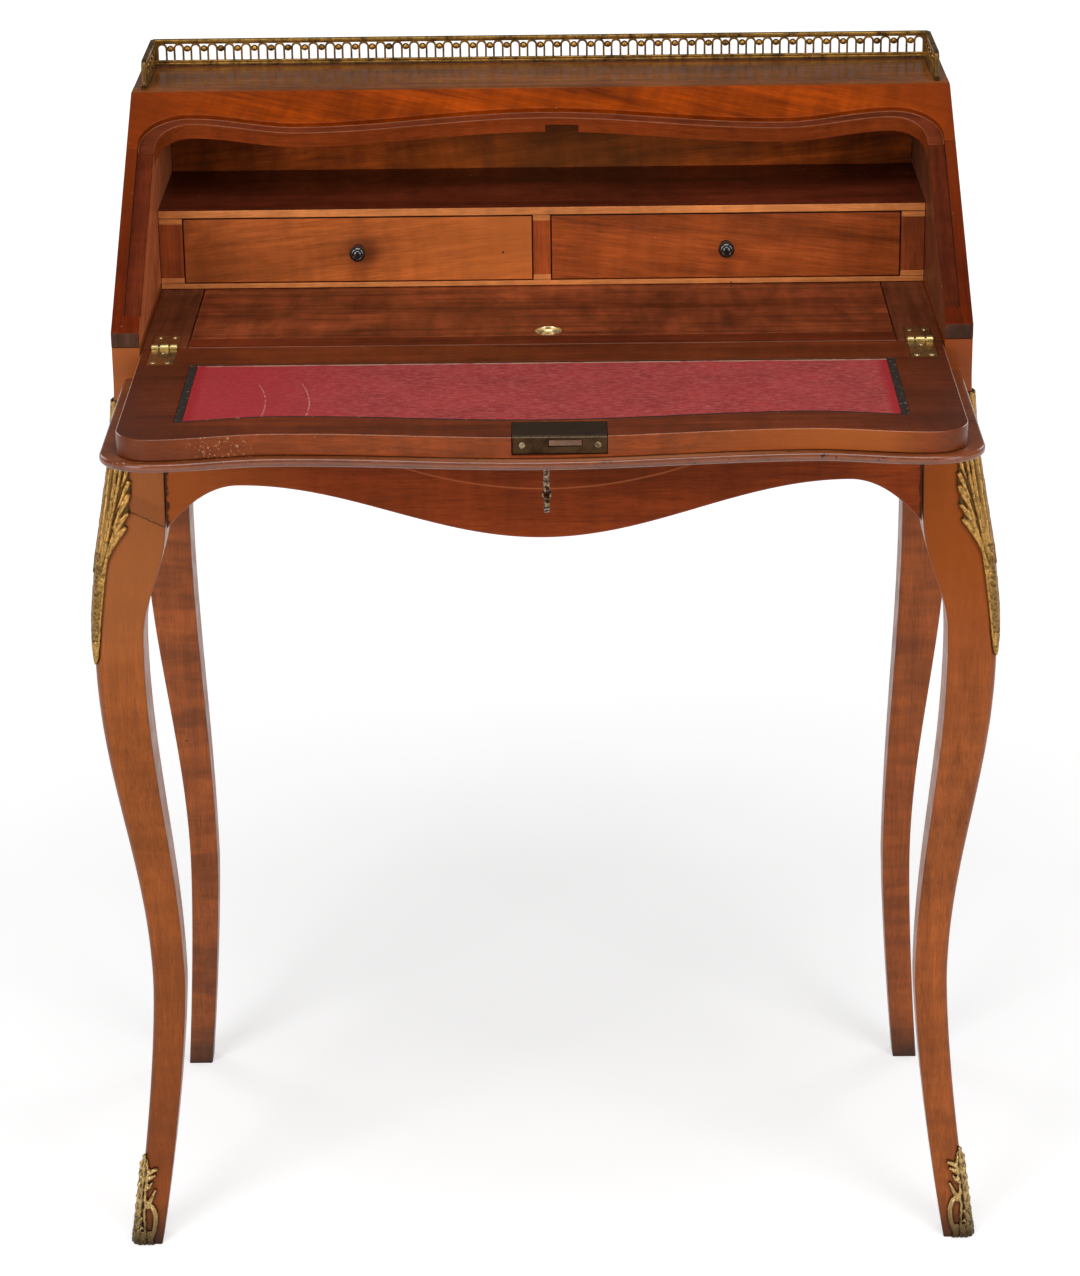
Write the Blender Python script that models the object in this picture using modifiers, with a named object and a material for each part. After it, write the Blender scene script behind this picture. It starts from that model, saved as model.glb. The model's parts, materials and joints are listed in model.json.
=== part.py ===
"""Small fall-front writing desk on four curved legs.

The desk has a sloping front whose fall opens flat to make the writing surface. Inside are two small
drawers under an open shelf and a sliding cover over a well. A pierced brass gallery runs round three sides
of the top.

Frame: X to the right, Y to the back, Z up, metres. The origin is on the floor under the middle of the desk
with its fall open. All pieces are placed from one datum empty on the hinge line, at the height of the
writing surface, so a piece's own coordinates say how far it lies behind the hinge line and above the
writing surface.
"""
import math

import bmesh
import bpy
from mathutils import Matrix, Vector

# Clearances
GAP = 0.0003                 # between two pieces that touch
FALL_SIDE_CLEAR = 0.0007     # fall board to case side, each side
FALL_BUTT_CLEAR = 0.0004     # back edge of the fall to the hinge line, and the same for the floor
OPENING_CLEAR = 0.0007       # front edge of the closed fall to the rail
REBATE_CLEAR = 0.0005        # edge of the lip to the wall of its rebate
SWING_CLEAR = 0.0008         # swinging lip to the lower end of its rebate
DRAWER_CLEAR = 0.0006        # drawer to its opening, all round
COVER_CLEAR = 0.0005         # sliding cover in its grooves and at its front edge
PIN_CLEAR = 0.0002           # hinge pin in its knuckles
KNUCKLE_CLEAR = 0.0004       # between the knuckles of a hinge
BOLT_CLEAR = 0.0004          # lock bolt in its slot
MOUNT_SEAT = 0.0006          # gilt mount to the leg it is pinned to
KEY_CLEAR = 0.0005           # key in its hole

# Case
CASE_WIDTH = 0.640           # over the case sides
CASE_SIDE_T = 0.021
CASE_FRONT = 0.014           # front of the case ahead of the hinge line
CASE_BACK = 0.293            # back of the case behind the hinge line
CASE_FOOT = 0.0047           # lower edge of the case sides above the writing surface
WRITING_HEIGHT = 0.748       # writing surface above the floor
TOP_RISE = 0.147             # top of the case above the writing surface
TOP_T = 0.013
BACK_T = 0.012
BACK_SET_IN = 0.003
SLOPE_DEG = 31.45            # slope of the closed fall
REBATE_DEPTH = 0.005
RAIL_LOW = 0.186             # lower end of the sloping top rail, along the slope from the hinge line

# Fall
FALL_T = 0.016
FALL_LEN_CENTRE = 0.219      # hinge line to front edge, at the middle
FALL_LEN_QUARTER = 0.2055    # at the hollow of the serpentine edge
FALL_LEN_CORNER = 0.216      # at the crest beside the corner
FALL_QUARTER_IN = 0.1103     # side edge of the fall to the hollow of the serpentine edge
FALL_CORNER_R = 0.025
LIP_T = 0.0064
LIP_SIDE = 0.0125
LIP_FRONT = 0.006
LIP_REAR = 0.0205            # lip starts this far in front of the hinge line
LIP_ROUND = 0.0022

# Writing cloth
CLOTH_T = 0.0007
CLOTH_SIDE_MARGIN = 0.0453   # side edge of the cloth to the side edge of the fall
CLOTH_REAR = 0.046           # rear edge of the cloth to the hinge line
CLOTH_LOCK_CLEAR = 0.0065    # front edge of the cloth to the back of the lock
BORDER_SIDE = 0.006
BORDER_END = 0.0025

# Hinges
HINGE_INSET = 0.017          # middle of a hinge to the case side
HINGE_W = 0.020
LEAF_T = 0.0014
CASE_LEAF = 0.033
FALL_LEAF = 0.042
KNUCKLE_R = 0.0034
MIDDLE_KNUCKLE = 0.0074
PIN_R = 0.0015

# Lock and key
LOCK_X = 0.0125
LOCK_W = 0.0665
LOCK_D = 0.0335
LOCK_H = 0.0132
SELVEDGE_T = 0.002
BOLT_X = 0.0165
BOLT_W = 0.023
BOLT_H = 0.0043
BOLT_DROP = 0.0052           # middle of the bolt below the fall's inner face
BOLT_LEN = 0.020
BOLT_THROW = 0.007
STRIKE_W = 0.026
STRIKE_H = 0.0085
STRIKE_DEPTH = 0.010
KEY_X = 0.003
KEY_BACKSET = 0.022
KEY_R = 0.0022
KEY_TOP = 0.0095             # upper end of the key below the fall's inner face
KEY_SHANK = 0.044
KEY_BOW_R = 0.0095
KEY_BOW_T = 0.0042
KEY_BIT = 0.0048
KEY_BIT_H = 0.003
KEY_BIT_T = 0.0018

# Floor of the writing compartment and the well under it
FLOOR_T = 0.014
FLOOR_STRIP_W = 0.0334       # fixed strip on each side of the well
WELL_FRONT_RAIL = 0.022
WELL_DEPTH = 0.090
WELL_BOTTOM_T = 0.005
COVER_T = 0.008
COVER_UNDER = 0.005          # cover reaches this far under the drawer case
COVER_TONGUE = 0.0055
COVER_TONGUE_T = 0.0036
PULL_X = 0.0048
PULL_R = 0.0115
PULL_EDGE = 0.0015           # front edge of the cover to the pull
PULL_DEPTH = 0.005
PULL_WALL = 0.0018

# Drawer case
DRAWER_FRONT = 0.155
SHELF_RISE = 0.0635
SHELF_T = 0.006
SHELF_NOSE = 0.001
TRAY_T = 0.004
END_DIVIDER = 0.0183
MIDDLE_DIVIDER = 0.0136
DRAWER_END_CLEAR = 0.0107    # back of a drawer to the back panel
DRAWER_FRONT_T = 0.010
DRAWER_SIDE_T = 0.006
DRAWER_BACK_T = 0.006
DRAWER_BOTTOM_T = 0.003
KNOB_R = 0.0065
KNOB_NECK_R = 0.0030
KNOB_BASE_R = 0.0048
KNOB_LEN = 0.016

# Legs and aprons
LEG_BLOCK = 0.035            # square block at the top of each leg
BLOCK_ROUND = 0.002
LEG_BLOCK_DROP = 0.125       # block keeps its inner faces down to here, below the writing surface
LEG_BRACKET_DROP = 0.215     # the curve under the block ends here
KNEE_DROP = 0.238
ANKLE_DROP = 0.525
KNEE_OUT = 0.0235
ANKLE_OUT = -0.004
FOOT_OUT = 0.019
KNEE_W = 0.038
ANKLE_W = 0.026
FOOT_W = 0.0225
REAR_ANKLE_DROP = 0.545
REAR_KNEE_OUT = 0.015
REAR_ANKLE_OUT = -0.0095
REAR_FOOT_OUT = 0.002
REAR_KNEE_BACK = 0.008
REAR_ANKLE_BACK = -0.006
REAR_FOOT_BACK = 0.006
REAR_KNEE_W = 0.038
REAR_ANKLE_W = 0.0235
REAR_FOOT_W = 0.0205
POST_INSET = 0.0002
APRON_T = 0.022
APRON_CENTRE_DROP = 0.144
APRON_ARCH_DROP = 0.1025
APRON_END_DROP = 0.135
APRON_ARCH = 0.0547          # crest of the front arch from the leg
SIDE_APRON_CENTRE_DROP = 0.126
SIDE_APRON_ARCH_DROP = 0.106
SIDE_APRON_END_DROP = 0.122
SIDE_APRON_ARCH = 0.030      # crest of the side arch from the leg
BACK_RAIL_T = 0.018
BACK_RAIL_SET_IN = 0.002
BACK_RAIL_DROP = 0.108

# Gilt mounts on the front legs
KNEE_MOUNT_TOP_DROP = 0.036
KNEE_MOUNT_LOW_DROP = 0.240
KNEE_MOUNT_W = 0.040         # round the corner, at the leaf tips
KNEE_MOUNT_T = 0.0030
FOOT_MOUNT_H = 0.077
FOOT_MOUNT_W = 0.031
FOOT_MOUNT_T = 0.0036
MOUNT_EDGE_T = 0.0009
# Outlines as shares of a mount's length from its top and of its greatest width
KNEE_MOUNT_SHAPE = ((0.0, 0.40), (0.08, 0.80), (0.34, 0.82), (0.46, 1.0), (0.56, 0.55), (0.66, 0.41),
                    (0.9, 0.31), (1.0, 0.10))
FOOT_MOUNT_SHAPE = ((0.0, 0.08), (0.22, 0.42), (0.42, 0.52), (0.7, 0.86), (1.0, 1.0))

# Gallery
GALLERY_H = 0.0215
GALLERY_T = 0.002
GALLERY_SIDE_INSET = 0.0085
GALLERY_BACK_INSET = 0.0015
GALLERY_SIDE_LEN = 0.0835
GALLERY_FOOT = 0.0036
GALLERY_RAIL = 0.0030
GALLERY_PITCH = 0.0135
GALLERY_ARCH_W = 0.0084
GALLERY_END = 0.010

# Derived places
SLOPE = math.radians(SLOPE_DEG)
HALF = CASE_WIDTH / 2
HALF_IN = HALF - CASE_SIDE_T
FALL_HALF = HALF_IN - FALL_SIDE_CLEAR
CREST_X = FALL_HALF - FALL_CORNER_R
FALL_QUARTER_X = FALL_HALF - FALL_QUARTER_IN
CLOTH_HALF = FALL_HALF - CLOTH_SIDE_MARGIN
CLOTH_FRONT_MARGIN = LOCK_D + CLOTH_LOCK_CLEAR
HINGE_X = HALF_IN - HINGE_INSET
WELL_HALF = HALF_IN - FLOOR_STRIP_W - 2 * GAP
LIP_HALF = FALL_HALF + LIP_SIDE
FACE_H = FALL_T + REBATE_DEPTH
APRON_TOP = -FALL_T - GAP
BACK_IN = CASE_BACK - BACK_SET_IN - BACK_T
DRAWER_LEN = BACK_IN - GAP - DRAWER_END_CLEAR - DRAWER_FRONT
BACK_RAIL_BACK = CASE_BACK - BACK_RAIL_SET_IN
BACK_RAIL_IN = BACK_RAIL_BACK - BACK_RAIL_T
RAIL_BACK = (TOP_RISE - TOP_T) / math.tan(SLOPE)
FRONT_REACH = max(FALL_LEN_CENTRE, FALL_LEN_CORNER) + LIP_FRONT
REAR_REACH = CASE_BACK + max(REAR_KNEE_BACK, REAR_FOOT_BACK, 0.0)
FOOT_MOUNT_LOW = WRITING_HEIGHT - MOUNT_SEAT
DATUM = Vector((0.0, (FRONT_REACH - REAR_REACH) / 2, WRITING_HEIGHT))

# Colours from the photograph, linear
WALNUT = (0.22, 0.060, 0.018)
WALNUT_BRIGHT = (0.30, 0.075, 0.018)
WALNUT_DARK = (0.10, 0.028, 0.012)
DRAWER_WOOD = (0.30, 0.10, 0.035)
PALE_WOOD = (0.36, 0.17, 0.075)
BRASS = (0.50, 0.33, 0.11)
GILT = (0.58, 0.36, 0.09)
STEEL = (0.20, 0.17, 0.13)
EBONY = (0.008, 0.007, 0.007)
CRIMSON = (0.36, 0.030, 0.045)
BLACK_TAPE = (0.03, 0.022, 0.018)

for old in list(bpy.data.objects):
    bpy.data.objects.remove(old, do_unlink=True)

parts = bpy.data.collections.new("fall_front_desk")
cutters = bpy.data.collections.new("cutters")
bpy.context.scene.collection.children.link(parts)
bpy.context.scene.collection.children.link(cutters)


def empty(name, place, parent=None):
    """An empty that carries pieces; its place is given from its parent."""
    obj = bpy.data.objects.new(name, None)
    obj.empty_display_size = 0.02
    obj.location = place
    obj.parent = parent
    parts.objects.link(obj)
    return obj


datum = empty("desk_datum", DATUM)


def material(name, colour, rough, metal=0.0):
    mat = bpy.data.materials.new(name)
    mat.use_nodes = True
    shader = mat.node_tree.nodes["Principled BSDF"]
    shader.inputs["Base Color"].default_value = (*colour, 1.0)
    shader.inputs["Roughness"].default_value = rough
    shader.inputs["Metallic"].default_value = metal
    return mat


def finish(obj, look, carrier=None, smooth=None):
    """Give a piece its material and its carrier; its coordinates stay those of the datum."""
    colour, rough, metal = look
    obj.data.materials.clear()
    obj.data.materials.append(material(obj.name + "_finish", colour, rough, metal))
    for old in list(obj.users_collection):
        old.objects.unlink(obj)
    parts.objects.link(obj)
    obj.parent = carrier or datum
    if carrier is not None:
        obj.location = Vector(obj.location) - Vector(carrier.location)
    if smooth is not None:
        obj.data.shade_smooth()
        obj.data.set_sharp_from_angle(angle=math.radians(smooth))
    return obj


def as_cutter(obj):
    for old in list(obj.users_collection):
        old.objects.unlink(obj)
    cutters.objects.link(obj)
    obj.parent = datum
    obj.hide_render = True
    obj.display_type = "WIRE"
    return obj


def mesh_object(name, bm, place=(0, 0, 0)):
    bmesh.ops.recalc_face_normals(bm, faces=bm.faces)
    mesh = bpy.data.meshes.new(name)
    bm.to_mesh(mesh)
    bm.free()
    obj = bpy.data.objects.new(name, mesh)
    obj.location = place
    cutters.objects.link(obj)
    return obj


def box(name, x, y, z):
    """A block between two values on each axis, with its origin at its middle."""
    bm = bmesh.new()
    bmesh.ops.create_cube(bm, size=1.0)
    size = Vector((x[1] - x[0], y[1] - y[0], z[1] - z[0]))
    bmesh.ops.scale(bm, vec=size, verts=bm.verts)
    return mesh_object(name, bm, ((x[0] + x[1]) / 2, (y[0] + y[1]) / 2, (z[0] + z[1]) / 2))


def rod(name, radius, along, middle, length, sides=24):
    """A cylinder whose length runs along the axis named, x, y or z."""
    bm = bmesh.new()
    bmesh.ops.create_cone(bm, cap_ends=True, segments=sides, radius1=radius, radius2=radius, depth=length)
    if along == "x":
        bmesh.ops.rotate(bm, matrix=Matrix.Rotation(math.pi / 2, 3, "Y"), verts=bm.verts)
    if along == "y":
        bmesh.ops.rotate(bm, matrix=Matrix.Rotation(math.pi / 2, 3, "X"), verts=bm.verts)
    return mesh_object(name, bm, middle)


def plate(name, outlines, low, high, axes):
    """A flat outline, with any holes, given thickness from low to high along the third of its axes."""
    curve = bpy.data.curves.new(name, "CURVE")
    curve.dimensions = "2D"
    curve.fill_mode = "BOTH"
    curve.extrude = (high - low) / 2
    for points in outlines:
        spline = curve.splines.new("POLY")
        spline.points.add(len(points) - 1)
        for point, (a, b) in zip(spline.points, points):
            point.co = (a, b, 0.0, 1.0)
        spline.use_cyclic_u = True
    shape = bpy.data.objects.new(name + "_outline", curve)
    bpy.context.scene.collection.objects.link(shape)
    bpy.context.view_layer.update()
    mesh = bpy.data.meshes.new_from_object(shape.evaluated_get(bpy.context.evaluated_depsgraph_get()))
    bpy.data.objects.remove(shape, do_unlink=True)
    bm = bmesh.new()
    bm.from_mesh(mesh)
    bpy.data.meshes.remove(mesh)
    bmesh.ops.remove_doubles(bm, verts=bm.verts, dist=0.000002)
    frame = Matrix((axes[0], axes[1], axes[2])).transposed()
    bmesh.ops.transform(bm, matrix=frame.to_4x4(), verts=bm.verts)
    return mesh_object(name, bm, Vector(axes[2]) * ((low + high) / 2))


def loft(name, rings):
    """Skin a row of sections that all have the same number of points, and close both ends."""
    bm = bmesh.new()
    rows = [[bm.verts.new(point) for point in ring] for ring in rings]
    count = len(rows[0])
    for lower, upper in zip(rows, rows[1:]):
        for i in range(count):
            j = (i + 1) % count
            bm.faces.new((lower[i], lower[j], upper[j], upper[i]))
    bm.faces.new(rows[0])
    bm.faces.new(rows[-1])
    return mesh_object(name, bm)


def boolean(obj, cutter, kind="DIFFERENCE"):
    mod = obj.modifiers.new(cutter.name, "BOOLEAN")
    mod.object = as_cutter(cutter)
    mod.operation = kind
    mod.solver = "EXACT"
    return obj


def soften(obj, width, segments=1, angle=50):
    mod = obj.modifiers.new("edge", "BEVEL")
    mod.width = width
    mod.segments = segments
    mod.limit_method = "ANGLE"
    mod.angle_limit = math.radians(angle)
    return obj


XY = ((1, 0, 0), (0, 1, 0), (0, 0, 1))
XZ = ((1, 0, 0), (0, 0, 1), (0, -1, 0))
YZ = ((0, 1, 0), (0, 0, 1), (1, 0, 0))
SLANT = ((1, 0, 0), (0, math.cos(SLOPE), math.sin(SLOPE)), (0, -math.sin(SLOPE), math.cos(SLOPE)))


def on_slope(u, h):
    """Y and Z of a point u up the slope from the hinge line and h out from the closed fall's inner face."""
    return (u * math.cos(SLOPE) - h * math.sin(SLOPE), u * math.sin(SLOPE) + h * math.cos(SLOPE))


def ease(a, b, t):
    """A smooth change from a to b while t goes from 0 to 1."""
    t = min(max(t, 0.0), 1.0)
    return a + (b - a) * (1 - math.cos(math.pi * t)) / 2


WOOD = (WALNUT, 0.32, 0.0)
BRIGHT = (WALNUT_BRIGHT, 0.28, 0.0)
DARK = (WALNUT_DARK, 0.30, 0.0)
DRAWER = (DRAWER_WOOD, 0.38, 0.0)
PALE = (PALE_WOOD, 0.55, 0.0)
BRASS_LOOK = (BRASS, 0.35, 1.0)
GILT_LOOK = (GILT, 0.38, 1.0)
STEEL_LOOK = (STEEL, 0.45, 1.0)
BLACK_LOOK = (EBONY, 0.18, 0.0)
CLOTH_LOOK = (CRIMSON, 0.92, 0.0)
TAPE_LOOK = (BLACK_TAPE, 0.85, 0.0)

EDGE = 0.0008                # worn arris on the planks


# The serpentine front edge of the fall, of its lip and of the opening that they close
def serpentine(x):
    x = abs(x)
    if x < FALL_QUARTER_X:
        return ease(FALL_LEN_CENTRE, FALL_LEN_QUARTER, x / FALL_QUARTER_X)
    return ease(FALL_LEN_QUARTER, FALL_LEN_CORNER, (x - FALL_QUARTER_X) / (CREST_X - FALL_QUARTER_X))


def fall_outline(half, grow, start, steps=34, turns=6):
    """Outline from the straight back edge at start to the serpentine front edge, grown outwards."""
    corner = FALL_CORNER_R + grow
    front = FALL_LEN_CORNER + grow
    points = [(half, start)]
    for i in range(turns):
        a = math.pi / 2 * i / turns
        points.append((CREST_X + (half - CREST_X) * math.cos(a), front - corner + corner * math.sin(a)))
    for i in range(steps + 1):
        x = CREST_X - 2 * CREST_X * i / steps
        points.append((x, serpentine(x) + grow))
    for i in range(turns - 1, -1, -1):
        a = math.pi / 2 * i / turns
        points.append((-CREST_X - (half - CREST_X) * math.cos(a), front - corner + corner * math.sin(a)))
    points.append((-half, start))
    return points


def opened(points):
    """The same outline lying open, forward of the hinge line."""
    return [(x, -u) for x, u in points]


# Legs: how far the outer face of a leg stands outside the case at a given drop below the writing surface
def sway(drop, knee, ankle, foot, knee_drop, ankle_drop):
    if drop < knee_drop:
        return ease(0.0, knee, (drop + APRON_TOP) / (knee_drop + APRON_TOP))
    if drop < ankle_drop:
        return ease(knee, ankle, (drop - knee_drop) / (ankle_drop - knee_drop))
    t = (drop - ankle_drop) / (WRITING_HEIGHT - ankle_drop)
    return ankle + (foot - ankle) * t ** 1.5


def width(drop, knee, ankle, foot, ankle_drop):
    if drop < KNEE_DROP:
        return knee
    if drop < ankle_drop:
        return ease(knee, ankle, (drop - KNEE_DROP) / (ankle_drop - KNEE_DROP))
    return ankle + (foot - ankle) * (drop - ankle_drop) / (WRITING_HEIGHT - ankle_drop)


def inner(drop, outer, size):
    """Inner face of a leg: square in the block, then the bracket curve, then the tapering leg."""
    t = (drop - LEG_BLOCK_DROP) / (LEG_BRACKET_DROP - LEG_BLOCK_DROP)
    return ease(-LEG_BLOCK, outer - size, t)


def front_leg_faces(drop):
    """Outer and inner faces from the case's own face, the same across and along the desk."""
    outer = sway(drop, KNEE_OUT, ANKLE_OUT, FOOT_OUT, KNEE_DROP, ANKLE_DROP)
    return outer, inner(drop, outer, width(drop, KNEE_W, ANKLE_W, FOOT_W, ANKLE_DROP))


def rear_leg_faces(drop):
    across = sway(drop, REAR_KNEE_OUT, REAR_ANKLE_OUT, REAR_FOOT_OUT, KNEE_DROP, REAR_ANKLE_DROP)
    along = sway(drop, REAR_KNEE_BACK, REAR_ANKLE_BACK, REAR_FOOT_BACK, KNEE_DROP, REAR_ANKLE_DROP)
    size = width(drop, REAR_KNEE_W, REAR_ANKLE_W, REAR_FOOT_W, REAR_ANKLE_DROP)
    return across, inner(drop, across, size), along, inner(drop, along, size)


def corner_round(drop, size):
    return ease(BLOCK_ROUND, size * 0.24, (drop - LEG_BLOCK_DROP) / (KNEE_DROP - LEG_BLOCK_DROP))


def leg_ring(side, front, drop, steps=3):
    """Section of a leg at a drop below the writing surface; a front leg's outer corner is round."""
    if front:
        ox, ix = front_leg_faces(drop)
        oy, iy = ox, ix
        y_face, y_out = -CASE_FRONT, -1
    else:
        ox, ix, oy, iy = rear_leg_faces(drop)
        y_face, y_out = CASE_BACK, 1
    outer_r = corner_round(drop, min(ox - ix, oy - iy)) if front else BLOCK_ROUND
    ring = []
    for sx, sy, turn in ((1, 1, 0), (0, 1, 1), (0, 0, 2), (1, 0, 3)):
        r = outer_r if turn == 0 else BLOCK_ROUND
        cx = ox - r if sx else ix + r
        cy = oy - r if sy else iy + r
        for k in range(steps + 1):
            a = math.pi / 2 * (turn + k / steps)
            across, along = cx + r * math.cos(a), cy + r * math.sin(a)
            ring.append((side * (HALF + across), y_face + y_out * along, -drop))
    return ring


def leg_drops(rows=24):
    """Closer sections through the block and the knee, wider ones down the shaft."""
    top = -APRON_TOP
    return [top + (WRITING_HEIGHT - top) * (i / rows) ** 1.12 for i in range(rows + 1)]


for side, hand in ((-1, "left"), (1, "right")):
    for front, end in ((True, "front"), (False, "rear")):
        leg = loft(end + "_" + hand + "_leg", [leg_ring(side, front, d) for d in leg_drops()])
        near = -CASE_FRONT + POST_INSET if front else CASE_BACK - LEG_BLOCK + POST_INSET
        far = near + LEG_BLOCK - 2 * POST_INSET
        xs = sorted((side * (HALF_IN + POST_INSET), side * (HALF - POST_INSET)))
        post = box(leg.name + "_post", xs, (near, far), (APRON_TOP - LEG_BLOCK / 3, CASE_FOOT - GAP))
        boolean(leg, post, "UNION")
        finish(leg, WOOD, smooth=40)


# Aprons between the legs, their outer faces swelling with the legs
def apron_edge(t, centre, arch, end, arch_t):
    """Drop of an apron's lower edge; t is 0 at the middle of the apron and 1 at the leg."""
    if t < arch_t:
        return ease(centre, arch, t / arch_t)
    return arch + (end - arch) * ((t - arch_t) / (1 - arch_t)) ** 2


FRONT_SPAN = HALF - LEG_BLOCK - GAP
SIDE_NEAR = -CASE_FRONT + LEG_BLOCK + GAP
SIDE_FAR = CASE_BACK - LEG_BLOCK - GAP
SIDE_SPAN = (SIDE_FAR - SIDE_NEAR) / 2
APRON_LOW = max(APRON_CENTRE_DROP, APRON_END_DROP, SIDE_APRON_CENTRE_DROP, SIDE_APRON_END_DROP) + 0.010


def swell(faces, low, rows=10):
    return [(faces(drop), drop) for drop in
            [-APRON_TOP + (low + APRON_TOP) * i / rows for i in range(rows + 1)]]


outer_face = [(-CASE_FRONT - out[0], -drop) for out, drop in swell(front_leg_faces, APRON_LOW)]
section = outer_face + [(APRON_T - CASE_FRONT, -APRON_LOW), (APRON_T - CASE_FRONT, APRON_TOP)]
front_apron = loft("front_apron", [[(x, y, z) for y, z in section] for x in (-FRONT_SPAN, FRONT_SPAN)])
edge = []
for i in range(49):
    x = -FRONT_SPAN + 2 * FRONT_SPAN * i / 48
    edge.append((x, -apron_edge(abs(x) / FRONT_SPAN, APRON_CENTRE_DROP, APRON_ARCH_DROP, APRON_END_DROP,
                                1 - APRON_ARCH / FRONT_SPAN)))
edge = [(-HALF, edge[0][1])] + edge + [(HALF, edge[-1][1])]
below = edge + [(HALF, -APRON_LOW * 1.5), (-HALF, -APRON_LOW * 1.5)]
boolean(front_apron, plate("front_apron_edge", [below], -HALF, HALF, XZ))
finish(front_apron, WOOD, smooth=40)

for side, hand in ((-1, "left"), (1, "right")):
    ends = []
    for faces, y in ((front_leg_faces, SIDE_NEAR), (rear_leg_faces, SIDE_FAR)):
        ring = [(side * (HALF + out[0]), y, -drop) for out, drop in swell(faces, APRON_LOW)]
        ring += [(side * HALF_IN, y, -APRON_LOW), (side * HALF_IN, y, CASE_FOOT - GAP)]
        ring += [(side * (HALF - POST_INSET), y, CASE_FOOT - GAP)]
        ends.append(ring)
    apron = loft(hand + "_apron", ends)
    edge = []
    middle = (SIDE_NEAR + SIDE_FAR) / 2
    for i in range(29):
        y = SIDE_NEAR + 2 * SIDE_SPAN * i / 28
        share = abs(y - middle) / SIDE_SPAN
        edge.append((y, -apron_edge(share, SIDE_APRON_CENTRE_DROP, SIDE_APRON_ARCH_DROP, SIDE_APRON_END_DROP,
                                    1 - SIDE_APRON_ARCH / SIDE_SPAN)))
    edge = [(SIDE_NEAR - APRON_T, edge[0][1])] + edge + [(SIDE_FAR + APRON_T, edge[-1][1])]
    below = edge + [(SIDE_FAR + APRON_T, -APRON_LOW * 1.5), (SIDE_NEAR - APRON_T, -APRON_LOW * 1.5)]
    boolean(apron, plate(hand + "_apron_edge", [below], -CASE_WIDTH, CASE_WIDTH, YZ))
    finish(apron, WOOD, smooth=40)

rail_low, rail_wide, rail_ear = -BACK_RAIL_DROP, HALF_IN - GAP, APRON_TOP + GAP
outline = [(-FRONT_SPAN, rail_low), (FRONT_SPAN, rail_low), (FRONT_SPAN, rail_ear), (rail_wide, rail_ear),
           (rail_wide, 0.0), (-rail_wide, 0.0), (-rail_wide, rail_ear), (-FRONT_SPAN, rail_ear)]
back_rail = plate("back_rail", [outline], -BACK_RAIL_BACK, -BACK_RAIL_IN, XZ)
finish(back_rail, DARK)

near, far, wide = APRON_T - CASE_FRONT + GAP, BACK_RAIL_IN - GAP, HALF_IN - GAP
notch_x = HALF - LEG_BLOCK - GAP
outline = [(-notch_x, near), (notch_x, near), (notch_x, SIDE_NEAR), (wide, SIDE_NEAR), (wide, SIDE_FAR),
           (notch_x, SIDE_FAR), (notch_x, far), (-notch_x, far), (-notch_x, SIDE_FAR), (-wide, SIDE_FAR),
           (-wide, SIDE_NEAR), (-notch_x, SIDE_NEAR)]
well_bottom = plate("well_bottom", [outline], -WELL_DEPTH - WELL_BOTTOM_T, -WELL_DEPTH, XY)
finish(well_bottom, PALE)

# Upper case. The sides carry the slope; a rebate along it takes the lip of the closed fall. Its lower end
# lies inside the circle that the lip's inner rear edge swings on
TOP_UNDER = TOP_RISE - TOP_T
lip_swing = math.hypot(LIP_REAR, FALL_T) - SWING_CLEAR
rebate_low = math.sqrt(max(lip_swing ** 2 - FACE_H ** 2, 0.0))
rebate = fall_outline(LIP_HALF + REBATE_CLEAR, LIP_FRONT + REBATE_CLEAR, rebate_low)
opening = fall_outline(HALF_IN, OPENING_CLEAR, -CASE_SIDE_T * 3)
face_front_z = (FACE_H - CASE_FRONT * math.sin(SLOPE)) / math.cos(SLOPE)
seat = -GAP
for side, hand in ((-1, "left"), (1, "right")):
    profile = [(-CASE_FRONT, CASE_FOOT), (-CASE_FRONT, face_front_z), on_slope(RAIL_LOW - GAP, FACE_H),
               on_slope(RAIL_LOW - GAP, seat),
               ((TOP_UNDER - GAP - seat / math.cos(SLOPE)) / math.tan(SLOPE), TOP_UNDER - GAP),
               (CASE_BACK, TOP_UNDER - GAP), (CASE_BACK, CASE_FOOT)]
    xs = sorted((side * HALF_IN, side * HALF))
    panel = plate(hand + "_case_side", [profile], xs[0], xs[1], YZ)
    boolean(panel, plate(hand + "_side_rebate", [rebate], FALL_T, FACE_H * 2, SLANT))
    finish(panel, BRIGHT)

top_front_y = (TOP_RISE * math.cos(SLOPE) - FACE_H) / math.sin(SLOPE)
profile = [on_slope(RAIL_LOW, FACE_H), (top_front_y, TOP_RISE), (RAIL_BACK, TOP_RISE),
           (RAIL_BACK, TOP_UNDER), on_slope(RAIL_LOW, 0.0)]
slant_rail = plate("slant_top_rail", [profile], -HALF, HALF, YZ)
boolean(slant_rail, plate("rail_opening", [opening], -FACE_H, FACE_H * 2, SLANT))
boolean(slant_rail, plate("rail_rebate", [rebate], FALL_T, FACE_H * 2, SLANT))
strike_x = (BOLT_X - STRIKE_W / 2, BOLT_X + STRIKE_W / 2)
strike_u = (FALL_LEN_CENTRE - STRIKE_DEPTH, FALL_LEN_CENTRE + STRIKE_DEPTH)
strike = [(strike_x[0], strike_u[0]), (strike_x[1], strike_u[0]), (strike_x[1], strike_u[1]),
          (strike_x[0], strike_u[1])]
boolean(slant_rail, plate("strike_mortise", [strike], -FACE_H, STRIKE_H, SLANT))
finish(slant_rail, BRIGHT, smooth=30)

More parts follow.
